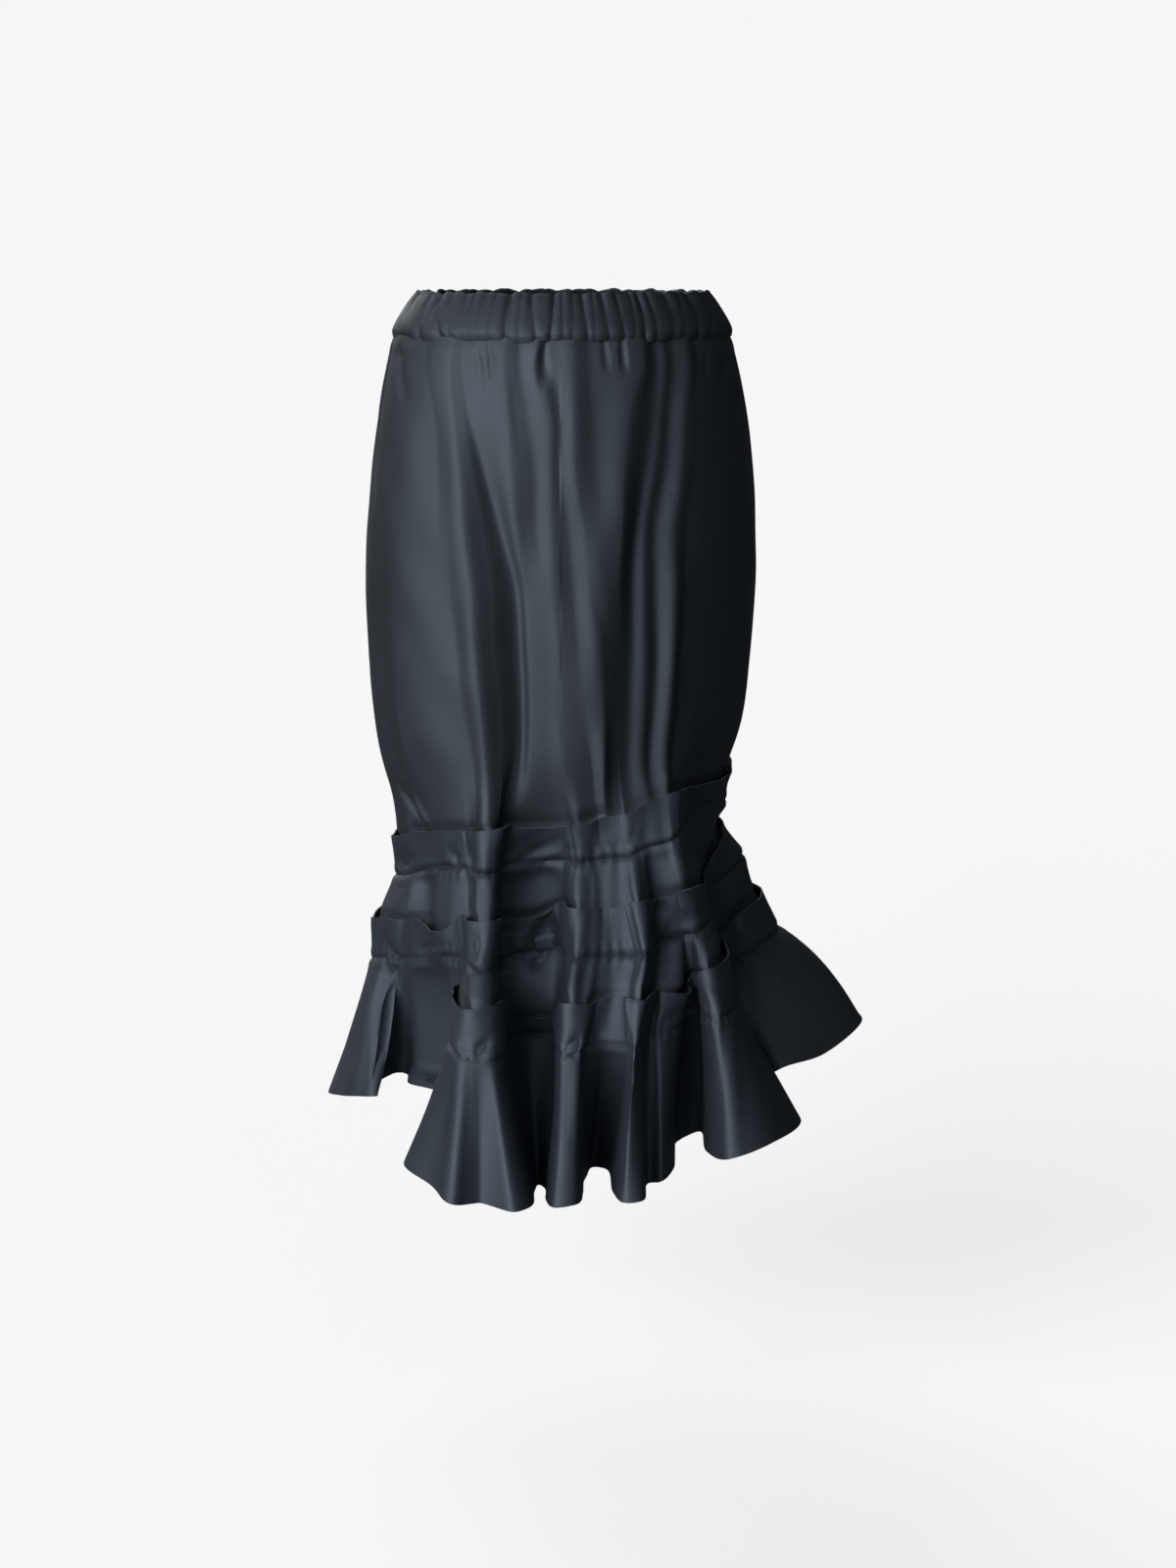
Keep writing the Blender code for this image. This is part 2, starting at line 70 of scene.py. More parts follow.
# Fold lines of the ruffle once round: name, azimuth, then x, y at the stitch lines of turn 2
# (highest), turn 1, turn 0 and x, y, z at the hem
FOLDS = [
    ("flute1_root",  -33, -86, -121,  -86, -140,  -95, -146, -119, -143, -722),
    ("flute1_edge",  -30, -82, -125,  -82, -158,  -97, -196, -138, -186, -730),
    ("flute1_left",  -27, -77, -135,  -80, -172,  -92, -214, -112, -228, -737),
    ("flute1_ridge", -24, -72, -147,  -75, -181,  -83, -224,  -92, -257, -745),
    ("flute1_mid",   -21, -65, -151,  -69, -184,  -70, -227,  -68, -245, -747),
    ("flute1_right", -18, -58, -148,  -62, -181,  -58, -226,  -40, -271, -747),
    ("flute1_fold",  -16, -54, -138,  -57, -168,  -49, -213,  -26, -261, -746),
    ("recess1_left", -14, -49, -123,  -54, -130,  -47, -150,  -23, -205, -750),
    ("recess1",       -8, -24, -117,  -28, -118,  -28, -128,  -20, -182, -751),
    ("recess1_right", -2,   2, -122,   -2, -123,   -8, -136,  -14, -200, -749),
    ("flute2_left",    1,  10, -134,    6, -158,   -4, -193,  -13, -236, -748),
    ("flute2_ridge",   4,  18, -140,   13, -175,    3, -213,   -5, -262, -746),
    ("flute2_right",   8,  28, -138,   25, -172,   17, -212,   13, -260, -744),
    ("recess2_left",  11,  34, -137,   36, -168,   23, -200,   20, -222, -746),
    ("recess2",       14,  42, -138,   49, -167,   39, -194,   27, -150, -745),
    ("flute3_left",   17,  51, -139,   62, -170,   55, -203,   40, -166, -742),
    ("flute3_edge", 18.5,  55, -140,   67, -174,   60, -209,   45, -226, -744),
    ("flute3_ridge",  20,  60, -142,   74, -181,   64, -215,   54, -252, -745),
    ("flute3_right",  23,  68, -140,   80, -166,   70, -198,   70, -250, -744),
    ("recess3",       26,  76, -138,   87, -144,   77, -179,   76, -200, -744),
    ("flute4_ridge",  29,  84, -137,   94, -140,   88, -180,   87, -205, -741),
    ("flute4_right",  32,  90, -136,  105, -140,  105, -165,   99, -175, -738),
    ("recess4_left",  34,  94, -136,  109, -140,  107, -134,  103, -114, -733),
    ("recess4_right", 36,  97, -136,  113, -142,  120, -132,  122, -110, -724),
    ("flute5_left",   38, 100, -134,  118, -142,  123, -170,  127, -188, -719),
    ("flute5_ridge",  41, 103, -130,  123, -138,  135, -188,  145, -243, -709),
    ("flute5_right",  45, 106, -121,  129, -126,  148, -172,  182, -228, -699),
    ("flute5_tip",    50, 109, -108,  131, -106,  154, -135,  212, -130, -703),
    ("recess5",       58, 115,  -88,  129,  -80,  150,  -90,  174,  -88, -690),
    ("fin_slope",     66, 129,  -62,  142,  -57,  160,  -64,  197, -100, -668),
    ("fin_front",     74, 140,  -42,  153,  -40,  178,  -46,  235,  -80, -661),
    ("fin_crest",     85, 149,  -12,  164,  -10,  198,  -12,  276,  -18, -646),
    ("fin_back",      97, 149,   22,  166,   26,  194,   30,  262,   52, -655),
    ("back_v1",      110, 141,   56,  151,   60,  160,   70,  184,   88, -696),
    ("back_r1a",     118, 131,   77,  141,   84,  154,  104,  200,  140, -688),
    ("back_r1b",     127, 115,   95,  124,  108,  130,  134,  160,  188, -690),
    ("back_v2",      137,  96,  110,  101,  116,  101,  127,  106,  138, -704),
    ("back_r2a",     144,  80,  119,   85,  131,   87,  154,  108,  204, -692),
    ("back_r2b",     151,  63,  125,   67,  141,   66,  170,   68,  236, -691),
    ("back_v3",      160,  42,  128,   43,  133,   43,  141,   42,  154, -706),
    ("back_r3a",     167,  27,  129,   29,  144,   32,  169,   46,  228, -696),
    ("back_r3b",     174,  12,  130,   11,  148,   10,  176,    6,  240, -694),
    ("centre_back",  180,  -2,  131,   -3,  144,   -6,  163,  -12,  200, -703),
    ("back_v4",      188,   0,    0,  -22,  134,  -25,  142,  -28,  154, -712),
    ("back_r4a",     198,   0,    0,  -42,  139,  -43,  166,  -42,  228, -702),
    ("back_r4b",     205,   0,    0,  -58,  136,  -62,  164,  -84,  224, -700),
    ("back_v5",      215,   0,    0,  -80,  124,  -84,  133,  -90,  142, -716),
    ("back_r5a",     224,   0,    0, -102,  117, -108,  142, -122,  200, -707),
    ("back_r5b",     233,   0,    0, -118,  102, -130,  122, -162,  168, -706),
    ("back_v6",      242,   0,    0, -131,   80, -142,   87, -155,   98, -722),
    ("left_back",    253,   0,    0, -146,   48, -166,   54, -200,   72, -715),
    ("left_crest",   268,   0,    0, -154,    2, -178,    4, -219,    2, -718),
    ("left_front",   276,   0,    0, -150,  -22, -171,  -20, -207,  -32, -712),
    ("left_slope",   284,   0,    0, -143,  -40, -163,  -36, -191,  -60, -705),
    ("left_fold",    292,   0,    0, -137,  -52, -156,  -46, -167,  -84, -697),
    ("left_v1",      298,   0,    0, -131,  -61, -150,  -51, -157,  -52, -693),
    ("left_v2",      303,   0,    0, -126,  -68, -144,  -58, -149,  -36, -692),
    ("left_ridge",   309,   0,    0, -118,  -79, -136,  -76, -142,  -62, -692),
    ("left_panel",   316,   0,    0, -108,  -92, -118, -100, -122,  -90, -689),
    ("left_inner",   322,   0,    0,  -97, -108, -102, -118, -104, -108, -688),
]
HEM_BEHIND = (-92.0, -122.0, -687.0)
# Height of the stitch line; position = azimuth + 360 for each turn
SPIRAL = [
    (-33, -617), (-27, -622), (-20, -625), (-12, -629), (0, -626), (8, -622), (17, -620),
    (26, -616), (32, -612), (37, -601), (45, -597), (60, -582), (74, -569), (87, -560),
    (130, -568), (180, -575), (230, -583), (268, -590), (280, -581), (300, -578),
    (316, -567), (325, -558), (340, -557), (350, -558), (359, -549), (377, -546),
    (386, -539), (396, -535), (404, -530), (418, -514), (430, -501), (445, -494),
    (500, -497), (540, -503), (590, -509), (628, -510), (650, -500), (665, -491),
    (676, -485), (688, -480), (700, -479), (710, -476), (722, -471), (739, -466),
    (746, -458), (757, -452), (768, -440), (778, -432), (792, -432), (805, -440),
    (860, -438), (900, -436),
]
NIPS = [(2, 90.0, 38.0, 17.0), (1, 92.0, 40.0, 6.0), (1, 265.0, 30.0, -2.0)]
SWELL = {2: 2.0, 1: 3.0, 0: -2.0}

ROWS = len(FOLDS)
TURN = ROWS * SUB
NAMES = [r[0] for r in FOLDS]
RIGHT, SIDE = NAMES.index("fin_front") * SUB, NAMES.index("fin_slope") * SUB
LEFT, BACK = NAMES.index("left_crest") * SUB, NAMES.index("centre_back") * SUB
END = 2 * TURN + BACK


def ease(t):
    t = np.clip(t, 0.0, 1.0)
    return t * t * (3.0 - 2.0 * t)


def bell(d):
    """1 at 0, falling smoothly to 0 at -1 and 1."""
    d = np.clip(np.abs(d), 0.0, 1.0)
    return 0.5 * (1.0 + np.cos(np.pi * d))


def catmull(p0, p1, p2, p3, f):
    def knot(a, b):
        return max(1e-6, math.dist(a, b) ** 0.5)
    t0 = 0.0
    t1 = t0 + knot(p0, p1)
    t2 = t1 + knot(p1, p2)
    t3 = t2 + knot(p2, p3)
    t = t1 + (t2 - t1) * f

    def mix(a, b, ta, tb):
        w = (t - ta) / (tb - ta)
        return tuple(u + (v - u) * w for u, v in zip(a, b))
    a1, a2, a3 = mix(p0, p1, t0, t1), mix(p1, p2, t1, t2), mix(p2, p3, t2, t3)
    return mix(mix(a1, a2, t0, t2), mix(a2, a3, t1, t3), t1, t2)


def spline(points, count):
    out, last = [], len(points) - 1
    for i in range(last):
        p0, p3 = points[max(0, i - 1)], points[min(last, i + 2)]
        for j in range(count):
            out.append(catmull(p0, points[i], points[i + 1], p3, j / count))
    out.append(tuple(points[-1]))
    return np.array(out, float)


def column_of(table, key, i):
    t = np.array(sorted(table), float)
    return np.interp(key, t[:, 0], t[:, i])


def path(table, key):
    """Smooth reading of every column of a table at the heights in key."""
    t = np.array(sorted(table, key=lambda r: r[0]), float)
    x, y = t[:, 0], t[:, 1:]
    m = np.zeros_like(y)
    m[1:-1] = (y[2:] - y[:-2]) / (x[2:] - x[:-2])[:, None]
    m[0] = (y[1] - y[0]) / (x[1] - x[0])
    m[-1] = (y[-1] - y[-2]) / (x[-1] - x[-2])
    q = np.clip(key, x[0], x[-1])
    i = np.clip(np.searchsorted(x, q, side="right") - 1, 0, len(x) - 2)
    h = (x[i + 1] - x[i])
    t1 = ((q - x[i]) / h)[..., None]
    h = h[..., None]
    a, b = y[i], y[i + 1]
    return ((2 * t1**3 - 3 * t1**2 + 1) * a + (t1**3 - 2 * t1**2 + t1) * h * m[i]
            + (-2 * t1**3 + 3 * t1**2) * b + (t1**3 - t1**2) * h * m[i + 1])


def fold_point(row, turn):
    r = FOLDS[row]
    c = {2: 2, 1: 4, 0: 6}[turn]
    return (float(r[c]), float(r[c + 1]), float(column_of(SPIRAL, r[1] + 360.0 * turn, 1)))


ST = spline([fold_point(i, 0) for i in range(ROWS)] + [fold_point(i, 1) for i in range(ROWS)]
            + [fold_point(i, 2) for i in range(NAMES.index("centre_back") + 1)], SUB)
HM = spline([(float(r[8]), float(r[9]), float(r[10])) for r in FOLDS] + [HEM_BEHIND], SUB)
K = len(ST)
ks = np.arange(K)
tangent = ST[np.minimum(K - 1, ks + 2), :2] - ST[np.maximum(0, ks - 2), :2]
tangent /= np.linalg.norm(tangent, axis=1)[:, None]
NP = np.stack([tangent[:, 1], -tangent[:, 0]], 1)          # outward in plan
az_row = np.array([r[1] for r in FOLDS] + [FOLDS[0][1] + 360.0], float)
POS = np.interp(ks % TURN, np.arange(ROWS + 1) * SUB, az_row) + 360.0 * (ks // TURN)


def flare_scale():
    below = np.where((ks <= TURN)[:, None], HM[np.minimum(ks, TURN)], ST[np.maximum(0, ks - TURN)])
    up = np.minimum(K - 1, ks + TURN)
    free = np.concatenate([ST[:, :2] - NP * 8.0, ST[:, 2:] + 60.0], 1)
    above = np.where((ks + TURN < K)[:, None], ST[up], free)
    worst = np.ones(K)
    for a, b in ((ST, below), (above, ST)):
        out = ((b - a)[:, :2] * NP).sum(1)
        drop = np.maximum(1.0, a[:, 2] - b[:, 2])
        worst = np.maximum(worst, np.hypot(out, drop) / drop)
    return np.minimum(2.0, worst)


def openness():
    deepest = np.zeros(K)
    for span in (SUB, 2 * SUB, 3 * SUB):
        a, b = ST[np.maximum(0, ks - span)], ST[np.minimum(K - 1, ks + span)]
        inward = (((a + b) * 0.5 - ST)[:, :2] * NP).sum(1)
        deepest = np.maximum(deepest, inward)
    return 1.0 - 0.9 * ease(deepest / 8.0)


LAYER_K = LAYER * flare_scale()
OPEN_K = openness()


def moved(p, n, d):
    return np.concatenate([p[..., :2] + n * np.asarray(d)[..., None], p[..., 2:]], -1)


def flounce_low(k):
    j = np.maximum(0, k - TURN)
    inner = moved(ST[j], NP[j], -LAYER_K[j])
    return np.where((k <= TURN)[..., None], HM[np.minimum(k, TURN)], inner)


def nip(k):
    turn, az = k // TURN, POS[k] % 360.0
    total = np.zeros(k.shape)
    for t, centre, half, depth in NIPS:
        d = np.abs((az - centre + 180.0) % 360.0 - 180.0) / half
        total += np.where(turn == t, depth * bell(d), 0.0)
    return total


def flounce_at(k, f):
    """Points a fraction f of the way down the flounce at columns k."""
    top, low = ST[k], flounce_low(k)
    p = top + (low - top) * f[..., None]
    turn = np.where(k > 2 * TURN, 2, np.where(k > TURN, 1, 0))
    swell = np.choose(turn, [SWELL[0], SWELL[1], SWELL[2]]) * np.sin(np.pi * f)
    swell = swell - nip(k) * np.sin(np.pi * np.maximum(f, 0.0) ** 0.9) ** 2
    return moved(p, NP[k], swell)


def body_low(m):
    return np.where(m <= BACK, m + 2 * TURN, m + TURN)


def oval(z, az, rows):
    a = np.radians(az)
    s, c = np.sin(a), np.cos(a)
    w = path(rows, z)
    half = np.where(s >= 0, w[..., 1], w[..., 0])
    deep = np.where(c >= 0, w[..., 2], w[..., 3])
    return np.stack([half * s, -deep * c, z + 0.0 * s], -1)


def body_at(m, z):
    """Outer face of the body, without its creases, at columns m once round and heights z."""
    m = m % TURN
    k = body_low(m)
    az = POS[m]
    p = oval(z, az, BODY)
    t = np.clip((BLEND_FROM - z) / (BLEND_FROM - ST[k][..., 2]), 0.0, 1.0)
    w = (ease(t) ** 2.6)[..., None]
    near_end = ease(2.0 * np.maximum(0.0, 1.0 - np.abs(az - 180.0) / 14.0))
    q = moved(ST[k], NP[k], -LAYER_K[k] * (1.0 + near_end))
    q = np.concatenate([q[..., :2], (z + 0.0 * az)[..., None]], -1)
    return p + (q - p) * w


def under(k, z):
    """Outer face of what lies under the header at columns k and heights z."""
    up = np.minimum(k + TURN, K - 1)
    top, low = ST[up][..., 2], flounce_low(up)[..., 2]
    f = np.clip((top - z) / (top - low), 0.0, 1.0)
    over = flounce_at(up, f)
    return np.where((k + TURN < K)[..., None], over, body_at(k, z))

# === creases ===
# Casing gathers: azimuth at the top and at the seam, depth, half width
GATHERS = [
    (-87.6, -70.6, 3.0, 5.0), (-73.0, -64.0, 1.2, 3.0), (-59.5, -55.1, 2.2, 2.4),
    (-52.7, -43.8, 3.0, 2.1), (-45.4, -39.6, 1.4, 1.9), (-38.6, -35.0, 1.0, 1.4),
    (-34.5, -31.9, 1.5, 1.3), (-29.5, -28.5, 1.4, 1.4), (-25.1, -23.8, 1.2, 1.2),
    (-19.4, -18.3, 3.2, 1.5), (-14.6, -13.6, 0.8, 1.4), (-11.0, -7.7, 2.0, 1.4),
    (-2.5, -3.2, 2.8, 1.2), (0.6, 0.9, 1.0, 1.0), (4.5, 3.8, 0.8, 1.2),
    (8.0, 9.1, 2.2, 1.4), (11.8, 11.2, 0.8, 1.0), (15.4, 16.1, 1.8, 1.4),
    (20.9, 21.4, 1.8, 1.4), (26.7, 24.9, 1.0, 1.1), (30.2, 28.7, 3.2, 1.5),
    (34.4, 33.4, 1.8, 1.5), (43.1, 39.9, 1.6, 1.9), (49.8, 44.3, 1.0, 1.6),
    (56.5, 52.2, 2.8, 2.2), (67.6, 59.1, 1.4, 2.4), (77.0, 68.9, 1.8, 3.0),
    (86.0, 80.0, 2.4, 2.6), (93.5, 92.0, 1.2, 2.0), (100.0, 101.0, 2.0, 2.2),
    (107.5, 106.0, 1.0, 1.7), (112.0, 114.0, 2.6, 2.2), (120.0, 119.0, 1.4, 1.6),
    (126.0, 128.5, 1.8, 1.8), (133.0, 132.5, 3.0, 1.8), (139.0, 138.0, 1.0, 1.4),
    (144.0, 146.0, 1.9, 1.6), (150.5, 150.0, 1.2, 1.3), (155.0, 156.5, 2.6, 1.6),
    (161.0, 160.0, 1.0, 1.2), (165.5, 166.5, 1.7, 1.4), (171.0, 170.0, 1.2, 1.2),
    (176.0, 177.5, 2.8, 1.5), (182.5, 182.0, 1.0, 1.2), (187.0, 186.0, 1.8, 1.4),
    (192.5, 194.0, 1.3, 1.3), (198.0, 197.5, 3.0, 1.6), (204.0, 202.5, 1.2, 1.4),
    (209.5, 211.0, 1.9, 1.5), (216.0, 215.0, 1.0, 1.4), (221.0, 223.0, 2.6, 1.8),
    (228.5, 228.0, 1.5, 1.6), (235.0, 233.5, 1.8, 1.8), (242.0, 244.0, 3.0, 2.2),
    (250.5, 250.0, 1.2, 2.0), (257.0, 259.0, 2.2, 2.4), (265.5, 264.0, 1.4, 2.2),
]
# Long folds of the body's front: height, then azimuth and stand-off of each fold line, from the
# left side round to the right
BODY_LINES = [
    (-40, -72.1, 0.5, -50.5, -0.8, -46.1, 0.8, -39.0, 2.2, -36.2, -0.5, -33.5, -3.2, -19.0, 0.8, -15.4, -1.2, -13.2, -2.6, -7.8, 0.6, -3.4, -2.2, 3.7, 1.2, 9.9, -2.4, 27.0, 2.6, 32.4, -4, 35.8, -2, 39.0, -3.5, 45.9, 1.8, 50.3, -1.2, 60.1, 0.5),
    (-80, -64.6, 0.5, -42.9, -0.8, -40.4, 0.6, -35.7, 2.4, -32.1, -1.5, -29.2, -4.8, -16.8, -0.5, -13.5, -3, -10.1, -4.8, -3.3, -0.6, -0.3, -2.4, 4.1, 1.4, 10.0, -2.8, 21.1, 3.4, 29.6, -6, 32.8, -4.4, 35.3, -5.4, 41.5, 1.5, 47.5, -0.5, 62.9, -1.8),
    (-129, -56.6, 0.5, -39.4, -0.6, -37.1, 0.6, -31.8, 3.6, -27.4, -2.2, -23.6, -9.5, -15.0, -3.2, -10.6, -5.6, -7.7, -7, -2.9, -3.8, -0.3, -5.2, 4.5, -0.6, 10.2, -2.6, 18.4, 2, 26.2, -7.6, 29.4, -5.6, 32.4, -6.8, 38.9, 0.2, 44.4, -2.2, 58.9, -3.8),
    (-180, -54.3, 0.5, -38.1, -0.2, -35.6, 0.6, -29.2, 4.6, -23.5, -3.5, -18.4, -12.5, -13.2, -7.2, -10.1, -8.4, -7.5, -9.2, -2.5, -6, 1.9, -7.2, 7.2, -2.6, 11.1, -1.5, 17.5, 0, 23.1, -10.2, 26.2, -8, 28.8, -9, 35.5, -2, 40.9, -4.6, 57.0, -4.5),
    (-230, -53.4, 0.5, -37.6, 0.6, -34.1, 1, -26.3, 5.4, -20.5, -3.5, -13.9, -15, -10.5, -10, -8.0, -9, -5.5, -7.8, -1.7, -6, 3.3, -7.2, 8.8, -3, 12.2, -2.2, 16.8, -3.6, 21.8, -11.6, 25.8, -8, 29.0, -9.8, 35.3, -1.6, 40.0, -6.5, 54.6, -7.5),
    (-282, -53.9, 0.5, -37.9, 1, -31.7, 1.1, -25.3, 6, -19.8, -3, -12.6, -16, -9.5, -10, -6.7, -9, -3.9, -8, -0.1, -5.2, 4.4, -5, 10.9, -0.2, 14.1, -3, 18.2, -7.6, 22.1, -11.6, 26.2, -8.2, 30.0, -10.4, 35.5, -1.6, 39.9, -8.2, 55.8, -9),
    (-334, -55.5, 0.5, -38.8, 1, -30.3, 1, -23.6, 6, -18.4, -3, -12.0, -15.5, -9.1, -9.6, -6.6, -8.6, -4.0, -7.6, 0.5, -5, 5.9, -3.6, 12.4, -0.6, 15.1, -4, 18.1, -8, 21.8, -11, 26.6, -7.2, 29.9, -9.4, 35.1, -1.6, 39.6, -9, 54.7, -10),
    (-386, -56.7, 0.5, -41.5, 1, -27.9, 0.8, -23.0, 5, -18.3, -3, -12.5, -14, -9.5, -8.8, -6.9, -7.8, -4.2, -6.8, 1.1, -3, 9.3, -3.4, 13.3, 1.6, 15.8, -4.8, 18.4, -7.8, 22.0, -9.8, 27.0, -6.2, 29.5, -8, 35.3, -1.6, 40.1, -9.4, 55.8, -10),
    (-429, -63.5, 0.5, -45.0, 1, -28.1, 1, -23.2, 2.8, -18.5, -3, -13.3, -8.4, -10.2, -7.6, -7.3, -6.8, -4.5, -6, 1.8, -4.8, 11.0, -6, 13.7, -3.2, 16.4, -4.8, 19.9, -5.6, 23.4, -6, 29.3, -5, 31.6, -4.6, 39.9, -3, 45.0, -8.6, 60.5, -9.5),
]
# Short creases: height, azimuth, depth (negative: a trough), half widths left and right
BODY_CREASES = [
    ("c408", [(-22, -70.4, 0.0, 6.1, 6.1), (-32, -68.8, -2.6, 6.9, 6.9), (-50, -63.8, -2.2, 4.5, 5.5), (-66, -59.5, -1.0, 4.3, 5.2), (-76, -57.5, 0.0, 4.0, 4.0)]),
    ("c488", [(-24, -29.4, 0.0, 1.7, 2.1), (-36, -27.6, -1.2, 2.4, 2.4), (-52, -26.1, -0.8, 2.1, 2.7), (-62, -24.9, 0.0, 2.1, 2.7)]),
    ("c500", [(-22, -24.6, -0.6, 1.7, 2.1), (-34, -23.1, -1.6, 2.1, 2.1), (-50, -21.9, -0.8, 2.1, 2.7), (-62, -21.3, 0.0, 1.8, 2.2)]),
    ("c555", [(-20, -5.0, -1.6, 1.8, 1.8), (-32, -5.6, -3.0, 2.2, 2.2), (-44, -5.6, -2.4, 3.0, 3.6), (-58, -5.6, -0.8, 2.2, 2.7), (-66, -5.0, 0.0, 2.2, 2.7)]),
    ("c636", [(-22, 20.3, -1.0, 1.8, 2.2), (-34, 20.3, -1.8, 2.2, 2.2), (-50, 20.6, 0.0, 2.1, 2.6)]),
    ("c618", [(-22, 14.3, -0.6, 1.6, 1.6), (-32, 14.6, -1.2, 2.2, 2.2), (-48, 14.9, 0.0, 1.9, 1.9)]),
    ("c740", [(-26, 75.1, 0.0, 5.8, 5.8), (-38, 68.4, -1.6, 4.7, 3.7), (-50, 64.4, -1.2, 4.0, 3.2), (-66, 61.2, 0.0, 4.0, 3.2)]),
    ("c722", [(-24, 57.2, 0.0, 2.1, 2.1), (-38, 54.8, -0.8, 2.7, 2.7), (-58, 52.4, 0.0, 2.7, 2.7)]),
    ("bl1", [(-408, -74.0, 0.0, 5.3, 5.3), (-424, -68.0, -1.8, 5.0, 6.0), (-440, -62.0, -2.8, 4.8, 6.2), (-450, -58.0, -2.6, 4.3, 6.1)]),
    ("bl2", [(-410, -66.4, 0.0, 5.1, 5.1), (-426, -59.0, 1.6, 3.8, 4.7), (-440, -54.2, 2.2, 3.4, 3.4), (-450, -51.6, 1.6, 3.2, 3.2)]),
    # sides and back
    ("s1", [(-22, 84.0, 0.0, 4.0, 5.0), (-40, 85.0, -1.4, 5.0, 6.0), (-90, 88.0, -1.4, 9.0, 10.0), (-180, 92.0, -0.8, 11.0, 12.0), (-260, 94.0, 0.0, 11.0, 12.0)]),
    ("s2", [(-22, 97.0, 1.5, 4.0, 4.0), (-90, 97.0, 3.0, 7.0, 8.0), (-235, 99.0, 3.4, 10.0, 12.0), (-420, 106.0, 1.5, 10.0, 12.0)]),
    ("b1", [(-22, 112.0, -1.8, 3.0, 4.0), (-60, 112.5, -4.0, 4.5, 5.5), (-140, 114.0, -4.4, 6.0, 7.0), (-240, 117.0, -2.4, 8.0, 8.0), (-330, 119.0, 0.0, 8.0, 8.0)]),
    ("b2", [(-22, 128.0, -2.5, 3.5, 5.0), (-70, 129.0, -6.0, 5.0, 8.0), (-180, 131.0, -7.4, 6.0, 10.0), (-300, 134.0, -6.6, 7.0, 10.0), (-430, 137.0, -5.0, 6.0, 7.0)]),
    ("b3", [(-22, 141.0, 1.2, 3.0, 3.0), (-90, 142.0, 3.0, 4.5, 5.0), (-210, 145.0, 3.6, 6.0, 6.0), (-330, 148.0, 3.0, 6.5, 6.0), (-430, 149.0, 1.6, 6.0, 6.0)]),
    ("b4", [(-22, 152.0, -1.6, 2.5, 3.0), (-55, 152.5, -3.6, 3.5, 4.0), (-120, 153.5, -3.0, 4.5, 5.0), (-200, 155.0, 0.0, 5.0, 5.0)]),
    ("b5", [(-22, 168.0, -2.8, 3.0, 4.5), (-70, 167.5, -6.0, 4.5, 6.5), (-170, 166.5, -6.6, 6.0, 8.0), (-290, 164.0, -5.4, 7.0, 8.0), (-430, 160.0, -3.8, 6.0, 7.0)]),
    ("b6", [(-22, 178.0, 1.4, 3.5, 3.0), (-100, 177.0, 3.2, 5.0, 4.0), (-230, 176.0, 3.6, 7.0, 5.0), (-340, 175.0, 2.0, 7.0, 6.0), (-400, 174.0, 0.0, 6.0, 6.0)]),
    ("b7", [(-22, 189.0, -1.4, 2.5, 2.5), (-50, 188.0, -3.4, 3.5, 3.0), (-110, 187.0, -2.4, 4.0, 4.0), (-170, 186.0, 0.0, 5.0, 5.0)]),
    ("b8", [(-22, 201.0, -2.6, 4.0, 3.5), (-70, 202.0, -5.6, 6.0, 5.0), (-180, 204.0, -7.2, 8.0, 6.0), (-300, 208.0, -7.0, 9.0, 7.0), (-440, 213.0, -5.6, 7.0, 6.0)]),
    ("b9", [(-22, 216.0, 1.0, 3.0, 3.5), (-80, 218.0, 3.4, 4.5, 6.0), (-200, 222.0, 4.2, 5.5, 8.0), (-330, 227.0, 3.6, 6.0, 8.0), (-440, 230.0, 2.4, 6.0, 7.0)]),
    ("b10", [(-22, 229.0, -1.6, 2.5, 3.0), (-60, 231.0, -3.8, 4.0, 4.5), (-130, 234.0, -3.0, 5.0, 6.0), (-220, 238.0, 0.0, 6.0, 6.0)]),
    ("b11", [(-22, 246.0, -2.2, 4.0, 4.0), (-90, 246.0, -4.8, 7.0, 6.0), (-220, 246.0, -6.2, 10.0, 8.0), (-340, 244.0, -5.4, 11.0, 9.0), (-440, 242.0, -4.4, 9.0, 8.0)]),
    ("b12", [(-22, 262.0, 0.8, 4.0, 4.0), (-110, 262.0, 2.6, 8.0, 8.0), (-260, 262.0, 3.0, 10.0, 9.0), (-420, 258.0, 1.5, 10.0, 9.0)]),
    ("s3", [(-22, 279.0, -1.4, 3.0, 3.0), (-44, 279.0, -3.0, 4.0, 4.0), (-110, 281.0, -1.6, 6.0, 6.0), (-180, 283.0, 0.0, 6.0, 6.0)]),
    ("s4", [(-150, 290.0, 0.0, 10.0, 9.0), (-260, 292.0, -2.2, 11.0, 10.0), (-380, 295.0, -3.4, 11.0, 9.0), (-440, 297.0, -3.4, 9.0, 8.0)]),
    ("s5", [(-30, 268.0, 0.0, 3.0, 3.0), (-50, 270.0, -1.6, 3.0, 3.5), (-80, 272.0, 0.0, 4.0, 4.0)]),
]
